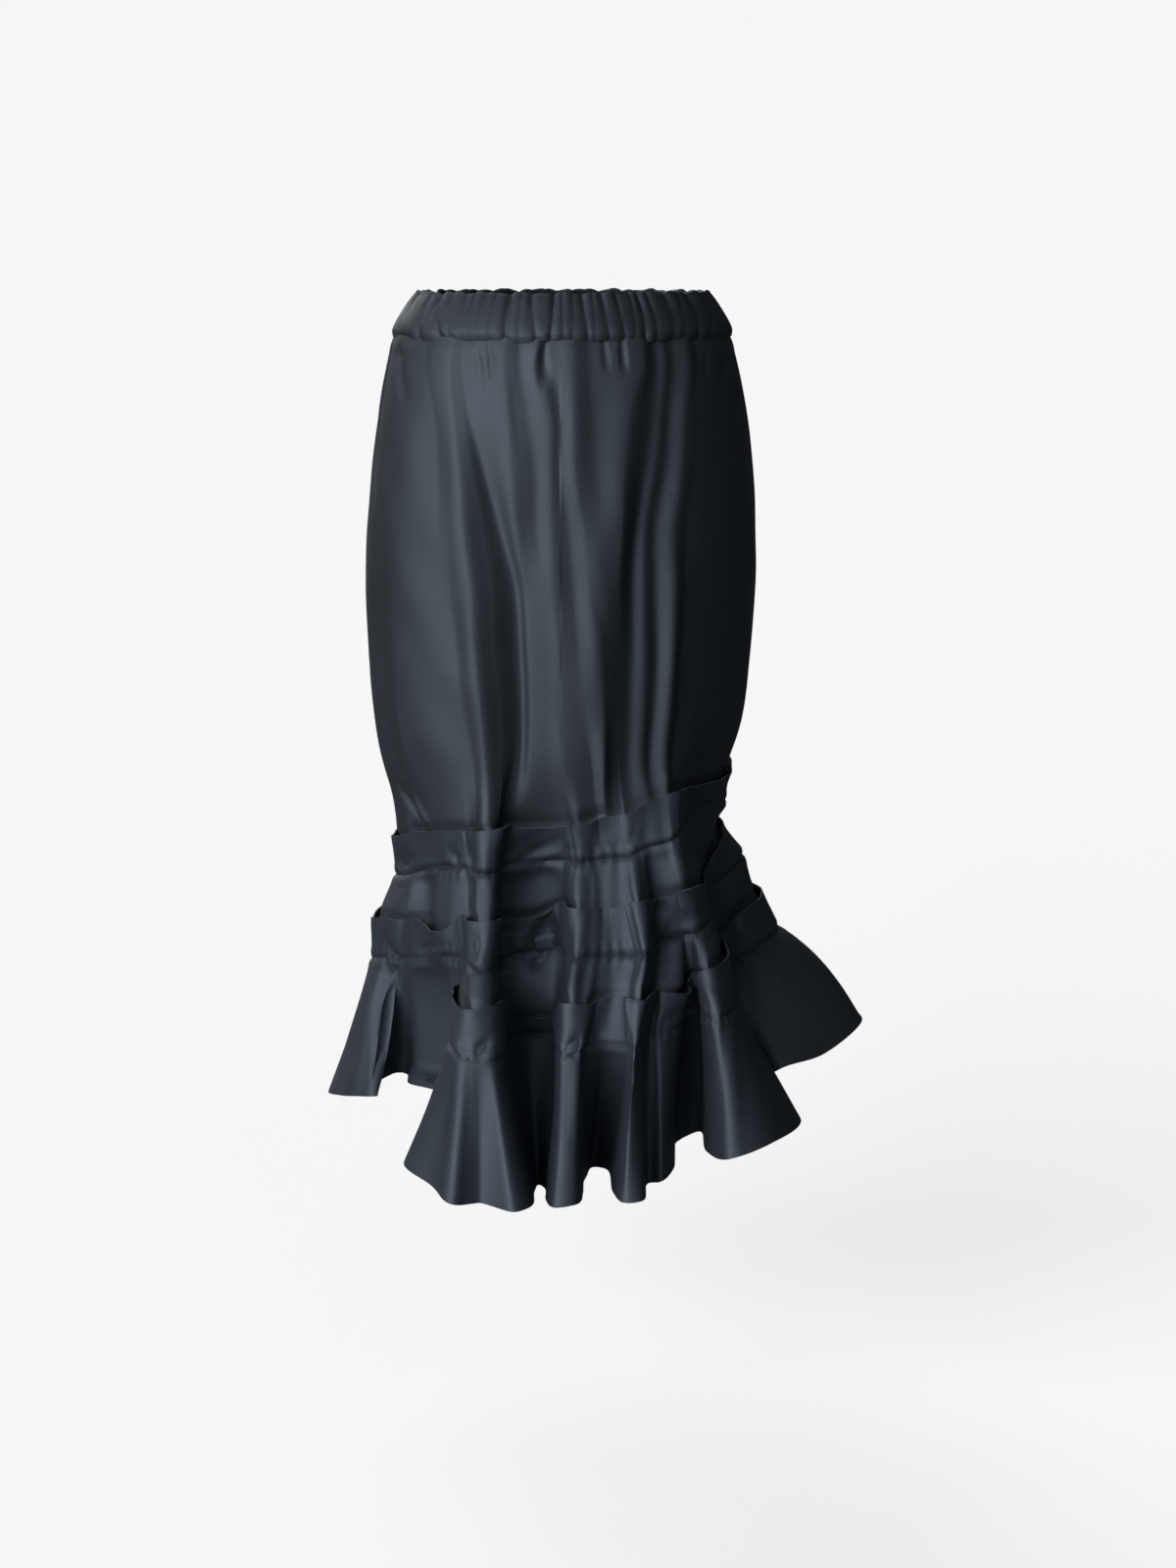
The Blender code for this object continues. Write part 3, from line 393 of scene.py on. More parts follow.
# Ruffle creases: v (-1 free edge of the header, 0 stitch line, 1 lower edge), column in fold
# lines (turn 1 adds the number of folds, turn 2 twice that), depth, half widths in fold lines
RUFFLE_CREASES = [
    ("a1", [(0.02, 116.2, -2, 1.5, 1.1), (0.14, 116.6, -8, 1.9, 1.3), (0.36, 117.1, -10, 2, 1), (0.64, 117.3, -10, 1.6, 1), (0.92, 117.5, -8, 1.4, 0.8)]),
    ("a2", [(0.04, 121, -2, 1.3, 0.8), (0.16, 121.1, -5, 1.7, 1.3), (0.34, 121.1, -6, 1.8, 1.6), (0.6, 120.9, -6, 1.7, 1.8), (0.92, 120.1, -5, 0.9, 2.3)]),
    ("a3", [(0.04, 123.7, 0, 0.4, 0.5), (0.14, 123.8, -1.32, 0.4, 0.5), (0.34, 123.8, -1.44, 0.4, 0.5), (0.54, 124, -1.2, 0.5, 0.4)]),
    ("a4", [(0.02, 126.4, -2, 0.8, 0.9), (0.16, 126.7, -6, 1.4, 1.1), (0.38, 126.9, -7, 1.2, 1.1), (0.72, 127.1, -6, 1, 0.9)]),
    ("a5", [(0.04, 128.1, -2, 0.8, 0.6), (0.18, 128.1, -7, 1, 1.1), (0.44, 128.2, -8, 1.1, 1.5), (0.78, 128.3, -7, 1, 1)]),
    ("a6", [(0.02, 130.1, 0.59, 0.7, 0.6), (0.22, 130.4, 1.36, 1, 0.6), (0.52, 130.6, 1.36, 1, 0.5), (0.82, 130.7, 1.17, 1.2, 0.6)]),
    ("a7", [(0.02, 131.5, -0.29, 0.5, 0.3), (0.18, 131.6, -0.68, 0.6, 0.4), (0.38, 131.7, -0.51, 0.6, 0.4), (0.58, 131.7, -0.23, 0.5, 0.5)]),
    ("a8", [(0.04, 133, -0.29, 0.6, 0.4), (0.2, 133, -0.58, 0.6, 0.6), (0.42, 133.1, -0.58, 0.5, 0.5), (0.66, 133.1, -0.39, 0.4, 0.5)]),
    ("a9", [(0, 134.8, -0.29, 0.5, 0.6), (0.14, 134.7, -0.7, 0.6, 0.9), (0.4, 134.6, -0.78, 0.7, 0.9), (0.66, 134.5, -0.78, 0.6, 0.5)]),
    ("a10", [(0.02, 137.5, 0.59, 0.9, 0.5), (0.18, 137.4, 1.36, 1, 0.8), (0.42, 137.3, 1.56, 1, 0.9), (0.62, 137.3, 1.56, 1.1, 0.9)]),
    ("a11", [(0.02, 139.3, -0.98, 0.6, 0.8), (0.18, 139.4, -2.6, 0.8, 1.5), (0.44, 139.4, -3.25, 0.7, 1.7), (0.7, 139.3, -3.25, 0.7, 1.5)]),
    ("a12", [(0.06, 143.9, 0.65, 2, 1.2), (0.24, 143.7, 1.95, 1.9, 1.2), (0.48, 143.2, 1.95, 1.7, 1.2)]),
    ("h1", [(-0.8, 112.6, 0, 1.3, 2.2), (-0.56, 112.8, -2, 1.5, 2.1), (-0.32, 113, -4.5, 1.8, 1.9), (-0.16, 113, -1.5, 1.6, 1.6)]),
    ("h2", [(-0.14, 118.6, 0, 0.7, 0.7), (0, 118.2, -1.8, 0.7, 0.7), (0.02, 116, -1, 1.1, 0.8), (0.04, 117.2, -3.2, 1, 0.6)]),
    ("h3", [(-0.72, 118.9, 0, 0.6, 0.7), (-0.54, 119.1, -1, 0.7, 0.6), (-0.3, 119.3, -2.4, 0.5, 0.6), (-0.06, 119.5, -1, 0.4, 0.4)]),
    ("h4", [(-0.7, 121.7, 0, 1.7, 1.3), (-0.52, 121.8, -1, 1.8, 1.3), (-0.24, 121.8, -2.8, 1.7, 1.2), (-0.06, 121.8, -1.5, 1.2, 0.9)]),
    ("h5", [(-0.7, 127.2, 0, 0.7, 0.5), (-0.46, 127.1, -0.7, 1.2, 0.5), (-0.18, 127, -1.26, 1.1, 0.4), (0, 126.8, -0.52, 0.8, 0.4)]),
    ("h6", [(-0.74, 128.7, 0, 0.4, 0.9), (-0.6, 128.5, -0.52, 0.4, 0.4), (-0.38, 128.1, -1.4, 0.4, 0.4), (-0.16, 127.7, -1.22, 0.4, 0.3), (0, 127.4, 0, 0.3, 0.3)]),
    ("h7", [(-0.64, 129.8, 0.35, 0.9, 1.1), (-0.38, 128.9, 0.88, 0.4, 1), (-0.16, 128.5, 0.88, 0.3, 0.3), (0.02, 128.1, 0.35, 0.3, 0.2)]),
    ("h8", [(-0.54, 131.6, 0, 0.5, 0.6), (-0.36, 131.8, -0.62, 0.6, 0.7), (-0.18, 131.9, -1.25, 0.5, 0.6), (-0.02, 131.7, -0.39, 0.4, 0.5)]),
    ("h9", [(-0.42, 134.4, 0, 0.6, 0.6), (-0.22, 134.6, -0.78, 0.5, 0.9), (-0.06, 134.8, -0.39, 0.5, 0.8)]),
    ("h10", [(-0.72, 137.7, 0, 0.5, 0.7), (-0.52, 137.4, -0.39, 0.6, 0.6), (-0.28, 137, -0.78, 0.7, 0.5), (-0.08, 136.6, -0.39, 0.7, 0.6)]),
    ("h11", [(-0.56, 138.7, 0, 0.7, 0.7), (-0.32, 138.8, -0.78, 0.6, 0.7), (-0.08, 138.9, -0.31, 0.6, 0.5)]),
    ("b1", [(0.04, 53.6, -3, 0.7, 1.2), (0.12, 53.6, -9, 0.8, 2.2), (0.3, 53.6, -13, 0.7, 3), (0.52, 53.9, -14, 0.6, 3.2), (0.78, 54.2, -14, 0.6, 3.2), (0.98, 54.4, -13, 0.6, 3)]),
    ("b2", [(0.06, 51.7, 1, 0.6, 1), (0.24, 52, 3, 0.9, 0.8), (0.52, 52.6, 3, 1.1, 0.6), (0.88, 53, 2, 0.9, 0.4)]),
    ("b3", [(0.04, 55.2, 0.5, 0.9, 1), (0.18, 55.2, 1.5, 1, 1.2), (0.52, 55.2, 1.5, 0.8, 1.1), (1, 55.3, 1, 0.7, 1.2)]),
    ("b4", [(0.04, 58.4, -3, 1.2, 0.4), (0.18, 58.5, -10, 2.6, 0.3), (0.48, 58.6, -16, 3.4, 0.2), (0.86, 58.7, -18, 3.8, 0.2)]),
    ("b5", [(-0.04, 58.4, 1, 0.5, 0.4), (0.16, 58.5, 2, 0.5, 0.6), (0.54, 58.6, 2, 0.6, 2.6)]),
    ("b6", [(0.06, 60.4, -1, 0.7, 1.5), (0.14, 61.3, -3.5, 1.8, 1), (0.32, 62.2, -3.5, 2.8, 0.5), (0.58, 62.6, -3, 1.5, 0.4)]),
    ("b7", [(-0.04, 63.3, 0, 1.5, 1), (0.08, 63.5, -2.6, 1.1, 0.9), (0.28, 63.6, -2.8, 0.9, 0.7), (0.48, 63.6, -1.5, 0.7, 0.6)]),
    ("b8", [(-0.04, 64.9, 0.8, 0.5, 0.6), (0.12, 64.8, 2.2, 0.5, 0.5), (0.32, 64.6, 2.2, 0.4, 0.4), (0.54, 64.4, 1.5, 0.3, 0.3)]),
    ("b9", [(0.1, 67, -3, 0.4, 0.4), (0.24, 66.9, -8, 1.1, 0.6), (0.38, 66.1, -9, 0.8, 1.4), (0.68, 65.8, -8, 0.7, 1.6)]),
    ("b10", [(0.08, 67.8, 0, 0.4, 0.5), (0.22, 68.1, 3, 0.6, 0.6), (0.38, 68.2, 4, 0.8, 0.8), (0.58, 68.3, 2, 0.8, 0.9), (0.72, 68.3, 0, 0.8, 1.7)]),
    ("b11", [(0.04, 68.5, -1, 0.2, 0.62), (0.12, 68.3, -3.5, 0.2, 0.2), (0.24, 68.2, -2, 0.2, 0.2), (0.32, 68, 0, 0.2, 0.2)]),
    ("b12", [(0.06, 69.3, -3, 0.5, 0.6), (0.22, 69.6, -7, 1, 0.7), (0.42, 70, -8, 1.5, 0.7), (0.72, 70.2, -8, 1.7, 0.7)]),
    ("b13", [(0, 71, 0.39, 0.5, 0.3), (0.18, 71, 1.25, 0.5, 0.3), (0.38, 71, 1.36, 0.5, 0.3), (0.64, 71, 1.17, 0.6, 0.2)]),
    ("b14", [(0.02, 71.7, -0.59, 0.4, 0.4), (0.14, 71.7, -1.64, 0.4, 0.6), (0.34, 71.7, -1.64, 0.4, 0.7), (0.6, 71.8, -1.36, 0.4, 1)]),
    ("b15", [(0.02, 72.8, 0.1, 0.6, 0.7), (0.22, 73.2, 0.29, 0.9, 0.6), (0.44, 73.5, 0.2, 0.9, 0.7)]),
    ("b16", [(0.02, 77, 0.59, 0.7, 0.6), (0.16, 76.7, 1.56, 1, 0.5), (0.36, 76.3, 1.76, 1.4, 0.6), (0.6, 75.6, 1.56, 1, 0.9)]),
    ("b17", [(0.02, 77.6, -2.4, 0.5, 1.2), (0.22, 77.8, -4.8, 0.7, 1.9), (0.38, 77.5, -4.8, 0.6, 2.2), (0.66, 77.4, -4.0, 0.6, 2.1)]),
    ("b18", [(0.02, 80.6, 1, 0.6, 1.1), (0.26, 80.8, 2.5, 0.9, 1.8), (0.54, 81, 2.5, 0.9, 1.7)]),
    ("g1", [(-0.56, 53.4, 0, 1, 1.2), (-0.32, 53.7, -1.5, 1, 1.3), (-0.1, 54.2, -3, 1, 1.2), (0.02, 54.5, -1, 0.7, 0.9)]),
    ("g2", [(-0.56, 58.4, 0, 0.5, 0.5), (-0.38, 57.9, -2, 0.4, 0.6), (-0.16, 57.7, -2.4, 0.4, 0.4), (0.02, 57.6, -1, 0.3, 0.2)]),
    ("g3", [(-1.02, 63.2, -4, 0.5, 0.4), (-0.78, 63.1, -4, 0.6, 0.4), (-0.48, 63, -4, 0.8, 0.5), (-0.22, 62.8, -1.5, 0.9, 0.5)]),
    ("g4", [(-0.76, 66.9, -3, 1.9, 0.4), (-0.44, 67, -4, 1.9, 0.3), (-0.08, 67.1, -4.5, 1.1, 0.3), (0.1, 67, -2, 0.3, 0.3)]),
    ("g5", [(-0.56, 67.7, 1.2, 0.3, 0.3), (-0.24, 67.7, 1.8, 0.2, 0.3), (0.02, 67.7, 0.9, 0.2, 0.3)]),
    ("g6", [(-0.86, 68.5, -4, 0.3, 0.2), (-0.58, 68.5, -6, 0.4, 0.2), (-0.28, 68.5, -6, 0.4, 0.2), (0, 68.5, -3, 0.3, 0.2)]),
    ("g7", [(-0.82, 68.8, 1.2, 0.2, 0.3), (-0.54, 69.1, 1.8, 0.3, 0.8), (-0.26, 69.2, 1.8, 0.4, 1.4), (0.02, 69.1, 0.6, 0.3, 1)]),
    ("g8", [(-0.88, 70.9, -0.6, 0.7, 0.2), (-0.68, 70.9, -0.9, 0.4, 0.5), (-0.38, 70.7, -0.9, 0.8, 0.3), (-0.1, 70.6, -0.45, 0.8, 0.4)]),
    ("g9", [(-0.82, 71.2, 0.72, 0.2, 0.3), (-0.46, 71.2, 0.72, 0.3, 0.4), (-0.12, 71.2, 0.3, 0.3, 0.4)]),
    ("g10", [(-0.98, 77.3, 1.2, 0.3, 0.4), (-0.78, 77.2, 1.92, 0.3, 0.4), (-0.36, 77.2, 1.92, 0.6, 0.5), (-0.08, 77, 0.9, 0.9, 0.5)]),
    ("g11", [(-0.86, 79, -2, 1.2, 1.6), (-0.64, 78.9, -3.6, 1.1, 1.5), (-0.4, 78.4, -3.6, 0.8, 1.6), (-0.14, 78.3, -2, 0.6, 1)]),
    ("g12", [(-0.62, 83, 0, 1.5, 0.8), (-0.34, 83.3, -2.2, 0.8, 0.9), (-0.12, 83.5, -0.8, 0.8, 0.8)]),
    ("f1", [(-0.54, 4.8, 0, 0.4, 0.5), (-0.36, 4.5, -2, 0.5, 0.4), (-0.16, 4.1, -3.4, 0.4, 0.5), (-0.02, 4, -1, 0.4, 0.4)]),
    ("f2", [(-0.38, 3, 0, 0.5, 0.4), (-0.18, 3.1, -2.4, 0.5, 0.4), (-0.02, 3.2, -1, 0.4, 0.3)]),
    ("f3", [(-0.52, 11.6, 0, 0.4, 0.5), (-0.3, 11.6, -2, 0.4, 0.5), (-0.14, 11.5, -4.5, 0.4, 0.5), (0, 11.4, -2, 0.2, 0.4)]),
    ("f4", [(-0.64, 13, 0, 1.1, 0.5), (-0.42, 13.3, -0.6, 1.2, 0.4), (-0.18, 13.5, -1.44, 0.4, 0.4), (0, 13.7, -0.6, 0.3, 0.3)]),
    ("f5", [(-0.94, 16.6, 1.5, 1.9, 0.3), (-0.66, 16.4, 1.75, 1.7, 0.5), (-0.36, 16, 1.5, 1.4, 0.9), (-0.04, 15.4, 0.5, 0.7, 1.2)]),
    ("f6", [(-1, 17, -1, 0.62, 1.8), (-0.72, 17.1, -1.75, 0.62, 1.9), (-0.4, 17.3, -1.75, 0.3, 1.8), (0, 18.2, -0.75, 1, 0.8)]),
    ("f7", [(-0.42, 20.2, -0.75, 0.5, 0.4), (-0.16, 20.1, -1.3, 0.4, 0.4), (0.02, 20.1, -0.4, 0.4, 0.3)]),
    ("f8", [(-0.68, 23.9, -1.5, 2.8, 0.6), (-0.38, 23, -3, 1.9, 1.4), (-0.08, 23, -3, 0.5, 1.4), (0.06, 23, -1.5, 0.5, 1.3)]),
    ("f9", [(-0.74, 24.5, 0.5, 0.7, 0.4), (-0.56, 24.7, 1.5, 0.6, 0.4), (-0.3, 25.1, 1.5, 0.6, 0.5), (-0.02, 25.4, 0.75, 0.5, 0.5)]),
    ("c1", [(0.04, 2.8, 0.5, 0.8, 0.5), (0.22, 2.8, 1.5, 0.9, 0.6), (0.56, 2.8, 2, 0.8, 0.6), (0.92, 2.9, 2, 0.7, 0.5)]),
    ("c2", [(0.04, 3.8, 0.0, 0.4, 0.5), (0.2, 3.8, 1.25, 0.7, 0.8), (0.54, 3.9, 3.0, 0.8, 0.8), (0.92, 3.9, 3.5, 0.8, 0.9)]),
    ("c3", [(0.02, 12.6, -1.2, 0.6, 0.6), (0.14, 13, -3, 0.9, 0.5), (0.5, 13.2, -3, 0.9, 0.6), (0.96, 13.4, -2.4, 1, 0.2)]),
    ("c4", [(0.02, 11.3, -1, 0.4, 0.3), (0.16, 11.3, -1.5, 0.6, 0.4), (0.48, 11.3, -1, 0.7, 0.5)]),
    ("c5", [(-0.04, 16.9, 0.75, 1.1, 0.9), (0.12, 17, 1.5, 1.7, 0.9), (0.46, 16.6, 1.25, 1.7, 1.1), (0.84, 16.7, 0, 1.4, 0.9)]),
    ("c6", [(0.04, 18.4, -0.6, 0.7, 0.6), (0.22, 18.9, -1.5, 0.6, 0.7), (0.56, 19.2, -1.5, 0.4, 0.7), (0.96, 19.5, -1.2, 0.4, 0.7)]),
    ("fin", [(0.02, 30.6, 1, 3, 3), (0.15, 30.6, 8, 3, 3), (0.4, 30.8, 13, 3, 3), (0.7, 31, 9, 2.5, 2.5), (0.98, 31, 1, 2, 2)]),
    ("c7", [(0.08, 25.8, 1, 0.5, 0.4), (0.32, 25.5, 2, 0.4, 0.5), (0.66, 25.3, 2, 0.5, 0.3), (0.92, 25.1, 2, 0.4, 0.4)]),
]
# Height of the header along the strip, in fold lines: (column, height, extra stand-off)
HEADERS = [
    (0, 36, 0), (2, 37, 0), (3, 37, 0), (4, 39, 0), (5.5, 45, 0), (6.3, 40, 0), (7, 20, 2),
    (8, 15, 2), (9.3, 17, 3), (10, 36, 0), (11, 41, 0), (12, 38, 0), (14, 40, 0), (16, 41, 0),
    (19, 37, 0), (20, 34, 1), (21, 29, 3), (22.3, 28, 4), (23, 32, 1), (24.5, 37, 0),
    (25.5, 40, 0), (27, 39, 0), (29, 35, 0), (30, 37, 0), (31, 33, 0), (33, 39, 0),
    (40, 40, 0), (50, 41, 0), (51, 39, 0.5), (54, 38, 0), (57, 38, 0.5), (57.6, 34, 2),
    (58, 30, 4), (58.5, 25.5, 5), (59, 24, 4), (59.5, 30, 2), (60, 38, 0.5), (62, 39, 0),
    (65, 41, 0), (66.5, 38, 0), (67.4, 33, 1), (68.2, 32, 2), (68.8, 38, 3), (69.3, 42, 2),
    (71, 41, 0), (74, 39, 0), (76, 41, 0), (77.4, 44, 0), (78.5, 37, 0), (81, 37, 0),
    (84, 40, 0), (86, 36, 0), (88, 20, 0), (89, 27, 0), (90, 27, 0), (91, 25, 0),
    (94, 37, 0), (100, 40, 0), (111, 36, 0), (115, 36, 0), (117, 34, 0), (119, 34, 0),
    (120, 34, 0), (122, 34.5, 0), (124, 38, 1), (125, 39, 1.5), (126.5, 37, 3),
    (128, 31, 4.5), (129, 30, 4.5), (131, 33, 3.2), (134, 36.5, 1), (138, 37, 0), (141, 39.5, 0),
    (144, 40, 0), (145, 37, 0), (146, 33, 0), (147, 26, 0), (148, 18.5, 0.5),
    (149, 17, 1), (150, 18, 1), (151, 27, 0), (153, 36, 0), (159, 40, 0),
]


def body_lines(az, z):
    """Stand-off between the fold lines: smooth, and level at every ridge and valley."""
    a = (az + 180.0) % 360.0 - 180.0
    t = path(BODY_LINES, z)
    edge = np.zeros(a.shape + (1,))
    x = np.concatenate([edge - 92.0, t[..., 0::2], edge + 98.0], -1)
    h = np.concatenate([edge, t[..., 1::2], edge], -1)
    L = np.maximum(0.4, np.diff(x, axis=-1))
    d = np.diff(h, axis=-1) / L
    w1, w2 = 2 * L[..., 1:] + L[..., :-1], L[..., 1:] + 2 * L[..., :-1]
    d0, d1 = d[..., :-1], d[..., 1:]
    same = d0 * d1 > 1e-9
    m = np.where(same, (w1 + w2) / (w1 / np.where(same, d0, 1.0) + w2 / np.where(same, d1, 1.0)), 0.0)
    m = np.concatenate([edge, m, edge], -1)
    total = np.zeros(a.shape)
    for i in range(x.shape[-1] - 1):
        s = np.clip((a - x[..., i]) / L[..., i], 0.0, 1.0)
        inside = (a >= x[..., i]) & (a < x[..., i + 1])
        v = ((2 * s**3 - 3 * s**2 + 1) * h[..., i] + (s**3 - 2 * s**2 + s) * L[..., i] * m[..., i]
             + (3 * s**2 - 2 * s**3) * h[..., i + 1] + (s**3 - s**2) * L[..., i] * m[..., i + 1])
        total = np.where(inside, v, total)
    return total * (1.0 - 0.34 * ease((z + 190.0) / 110.0))


def body_creases(az, z):
    total = body_lines(az, z)
    for _, pts in BODY_CREASES:
        c = path(pts, z)
        off = (az - c[..., 0] + 180.0) % 360.0 - 180.0
        w = np.where(off < 0, c[..., 2], c[..., 3])
        total += c[..., 1] * bell(off / np.maximum(0.3, w))
    return total


def ripple(a, b, seed):
    """Calm irregular waves over two measures in millimetres, about -1 to 1."""
    rng = np.random.default_rng(seed)
    total = np.zeros(np.broadcast(a, b).shape)
    for _ in range(7):
        ang, length, ph = rng.uniform(0, 2 * np.pi), rng.uniform(38, 110), rng.uniform(0, 2 * np.pi)
        total += np.sin((np.cos(ang) * a + np.sin(ang) * b) * 2 * np.pi / length + ph)
    return total / 4.2


# === grids ===
def normals(P):
    du = np.gradient(P, axis=0)
    dv = np.gradient(P, axis=1)
    n = np.cross(dv, du)
    return n / np.maximum(1e-9, np.linalg.norm(n, axis=2))[..., None]


def flat_cut(P):
    """Lays the grid's columns out flat, one after the other, in metres."""
    seg = np.linalg.norm(np.diff(P, axis=1), axis=2)
    s = np.concatenate([np.zeros((len(P), 1)), np.cumsum(seg, 1)], 1)
    edge = [np.linalg.norm(np.diff(P[:, j], axis=0), axis=1) for j in (0, P.shape[1] // 2, -1)]
    length = 0.5 * (s[1:, -1] + s[:-1, -1])
    turn = np.concatenate([[0.0], np.cumsum((edge[2] - edge[0]) / length)])
    x = np.concatenate([[0.0], np.cumsum(edge[1] * np.cos(0.5 * (turn[1:] + turn[:-1])))])
    y = np.concatenate([[0.0], np.cumsum(edge[1] * np.sin(0.5 * (turn[1:] + turn[:-1])))])
    w = s - 0.5 * s[:, -1:]
    uv = np.stack([x[:, None] + w * np.sin(turn)[:, None], y[:, None] - w * np.cos(turn)[:, None]], -1)
    area = 0.5 * ((edge[0] + edge[2]) * length).sum()
    return uv * MM, area * 1e-6, edge[1].sum() * MM, length.mean() * MM


def mesh_of(name, verts, faces, uvs, mats, index, sharp=50.0):
    mesh = bpy.data.meshes.new(name)
    mesh.vertices.add(len(verts))
    mesh.vertices.foreach_set("co", (verts * MM).astype(np.float32).ravel())
    mesh.loops.add(faces.size)
    mesh.loops.foreach_set("vertex_index", faces.astype(np.int32).ravel())
    mesh.polygons.add(len(faces))
    mesh.polygons.foreach_set("loop_start", np.arange(len(faces), dtype=np.int32) * 4)
    layer = mesh.uv_layers.new(name="cloth")
    layer.data.foreach_set("uv", uvs.astype(np.float32).ravel())
    for m in mats:
        mesh.materials.append(m)
    mesh.polygons.foreach_set("material_index", index.astype(np.int32))
    mesh.polygons.foreach_set("use_smooth", np.ones(len(faces), bool))
    mesh.update(calc_edges=True)
    mesh.validate()
    mesh.set_sharp_from_angle(angle=math.radians(sharp))
    obj = bpy.data.objects.new(name, mesh)
    bpy.context.scene.collection.objects.link(obj)
    return obj


def shell(name, P, uv, mats, thick=CLOTH):
    """A thin closed cloth: the grid is its outer face."""
    C, R = P.shape[:2]
    inner = P - normals(P) * thick
    verts = np.concatenate([P.reshape(-1, 3), inner.reshape(-1, 3)])
    flat = np.concatenate([uv.reshape(-1, 2)] * 2)
    a = np.arange(C * R).reshape(C, R)
    b = a + C * R
    sides = [
        np.stack([a[:-1, :-1], a[:-1, 1:], a[1:, 1:], a[1:, :-1]], -1).reshape(-1, 4),
        np.stack([b[:-1, :-1], b[1:, :-1], b[1:, 1:], b[:-1, 1:]], -1).reshape(-1, 4),
        np.stack([a[:-1, 0], a[1:, 0], b[1:, 0], b[:-1, 0]], -1),
        np.stack([a[1:, -1], a[:-1, -1], b[:-1, -1], b[1:, -1]], -1),
        np.stack([a[0, 1:], a[0, :-1], b[0, :-1], b[0, 1:]], -1),
        np.stack([a[-1, :-1], a[-1, 1:], b[-1, 1:], b[-1, :-1]], -1),
    ]
    faces = np.concatenate(sides)
    index = np.concatenate([np.full(len(s), 1 if i in (2, 3) else 0) for i, s in enumerate(sides)])
    return mesh_of(name, verts, faces, flat[faces.ravel()], mats, index)


# === materials ===
def node(tree, kind, **values):
    n = tree.nodes.new(kind)
    for k, v in values.items():
        setattr(n, k, v)
    return n


def maths(tree, op, a, b=None, c=None):
    n = node(tree, "ShaderNodeMath", operation=op)
    for i, v in enumerate((a, b, c)):
        if v is None:
            continue
        if isinstance(v, (int, float)):
            n.inputs[i].default_value = v
        else:
            tree.links.new(v, n.inputs[i])
    return n.outputs[0]


def cloth(name, base, rough=0.44, pitch=0.0011, weave=0.5, edge=False, spec=0.74):
    """Bonded satin: a fine twill weave with uneven threads, a soft sheen and a faint mottle."""
    mat = bpy.data.materials.new(name)
    mat.use_nodes = True
    t = mat.node_tree
    t.nodes.clear()
    out = node(t, "ShaderNodeOutputMaterial")
    sh = node(t, "ShaderNodeBsdfPrincipled")
    t.links.new(sh.outputs[0], out.inputs[0])
    uv = node(t, "ShaderNodeUVMap", uv_map="cloth")
    sep = node(t, "ShaderNodeSeparateXYZ")
    t.links.new(uv.outputs[0], sep.inputs[0])
    u, v = sep.outputs[0], sep.outputs[1]
    w = 2 * math.pi / pitch
    warp = maths(t, "SINE", maths(t, "MULTIPLY", u, w))
    weft = maths(t, "SINE", maths(t, "MULTIPLY", v, w))
    twill = maths(t, "SINE", maths(t, "MULTIPLY", maths(t, "ADD", u, v), w * 0.5))
    cross = maths(t, "MULTIPLY", warp, weft)
    height = maths(t, "ADD", maths(t, "MULTIPLY", cross, 0.6), maths(t, "MULTIPLY", twill, 0.4))

    def threads(sx, sy, detail):
        m = node(t, "ShaderNodeMapping")
        m.inputs["Scale"].default_value = (sx, sy, 1.0)
        t.links.new(uv.outputs[0], m.inputs[0])
        n = node(t, "ShaderNodeTexNoise", noise_dimensions="2D")
        n.inputs["Scale"].default_value = 1.0
        n.inputs["Detail"].default_value = detail
        n.inputs["Roughness"].default_value = 0.6
        t.links.new(m.outputs[0], n.inputs["Vector"])
        return n.outputs[0]
    slub = maths(t, "ADD", threads(45.0, 900.0, 2.0), threads(900.0, 60.0, 2.0))
    geo = node(t, "ShaderNodeTexCoord")
    mottle = node(t, "ShaderNodeTexNoise")
    mottle.inputs["Scale"].default_value = 9.0
    mottle.inputs["Detail"].default_value = 3.0
    t.links.new(geo.outputs["Object"], mottle.inputs["Vector"])
    shade = maths(t, "ADD", maths(t, "MULTIPLY", height, 0.16 * weave),
                  maths(t, "ADD", maths(t, "MULTIPLY", maths(t, "SUBTRACT", slub, 1.0), 0.55),
                        maths(t, "MULTIPLY", maths(t, "SUBTRACT", mottle.outputs[0], 0.5), 0.35)))
    ramp = node(t, "ShaderNodeMix", data_type="RGBA")
    ramp.clamp_factor = True
    t.links.new(maths(t, "ADD", shade, 0.5), ramp.inputs[0])
    dark = [c * 0.66 for c in base]
    light = [c * 1.36 for c in base]
    ramp.inputs[6].default_value = (*dark, 1.0)
    ramp.inputs[7].default_value = (*light, 1.0)
    t.links.new(ramp.outputs[2], sh.inputs["Base Color"])
    t.links.new(maths(t, "ADD", maths(t, "MULTIPLY", maths(t, "SUBTRACT", mottle.outputs[0], 0.5), 0.10),
                      maths(t, "ADD", maths(t, "MULTIPLY", maths(t, "SUBTRACT", slub, 1.0), 0.10), rough)),
                sh.inputs["Roughness"])
    sh.inputs["Specular IOR Level"].default_value = spec
    sh.inputs["Specular Tint"].default_value = (0.67, 0.82, 1.0, 1.0)
    sh.inputs["Sheen Weight"].default_value = 0.02
    sh.inputs["Sheen Roughness"].default_value = 0.45
    sh.inputs["Sheen Tint"].default_value = (0.75, 0.85, 1.0, 1.0)
    bump = node(t, "ShaderNodeBump")
    bump.inputs["Strength"].default_value = 0.6 if not edge else 0.9
    bump.inputs["Distance"].default_value = 0.00012
    t.links.new(maths(t, "ADD", height, maths(t, "MULTIPLY", slub, 0.8)), bump.inputs["Height"])
    t.links.new(bump.outputs[0], sh.inputs["Normal"])
    return mat


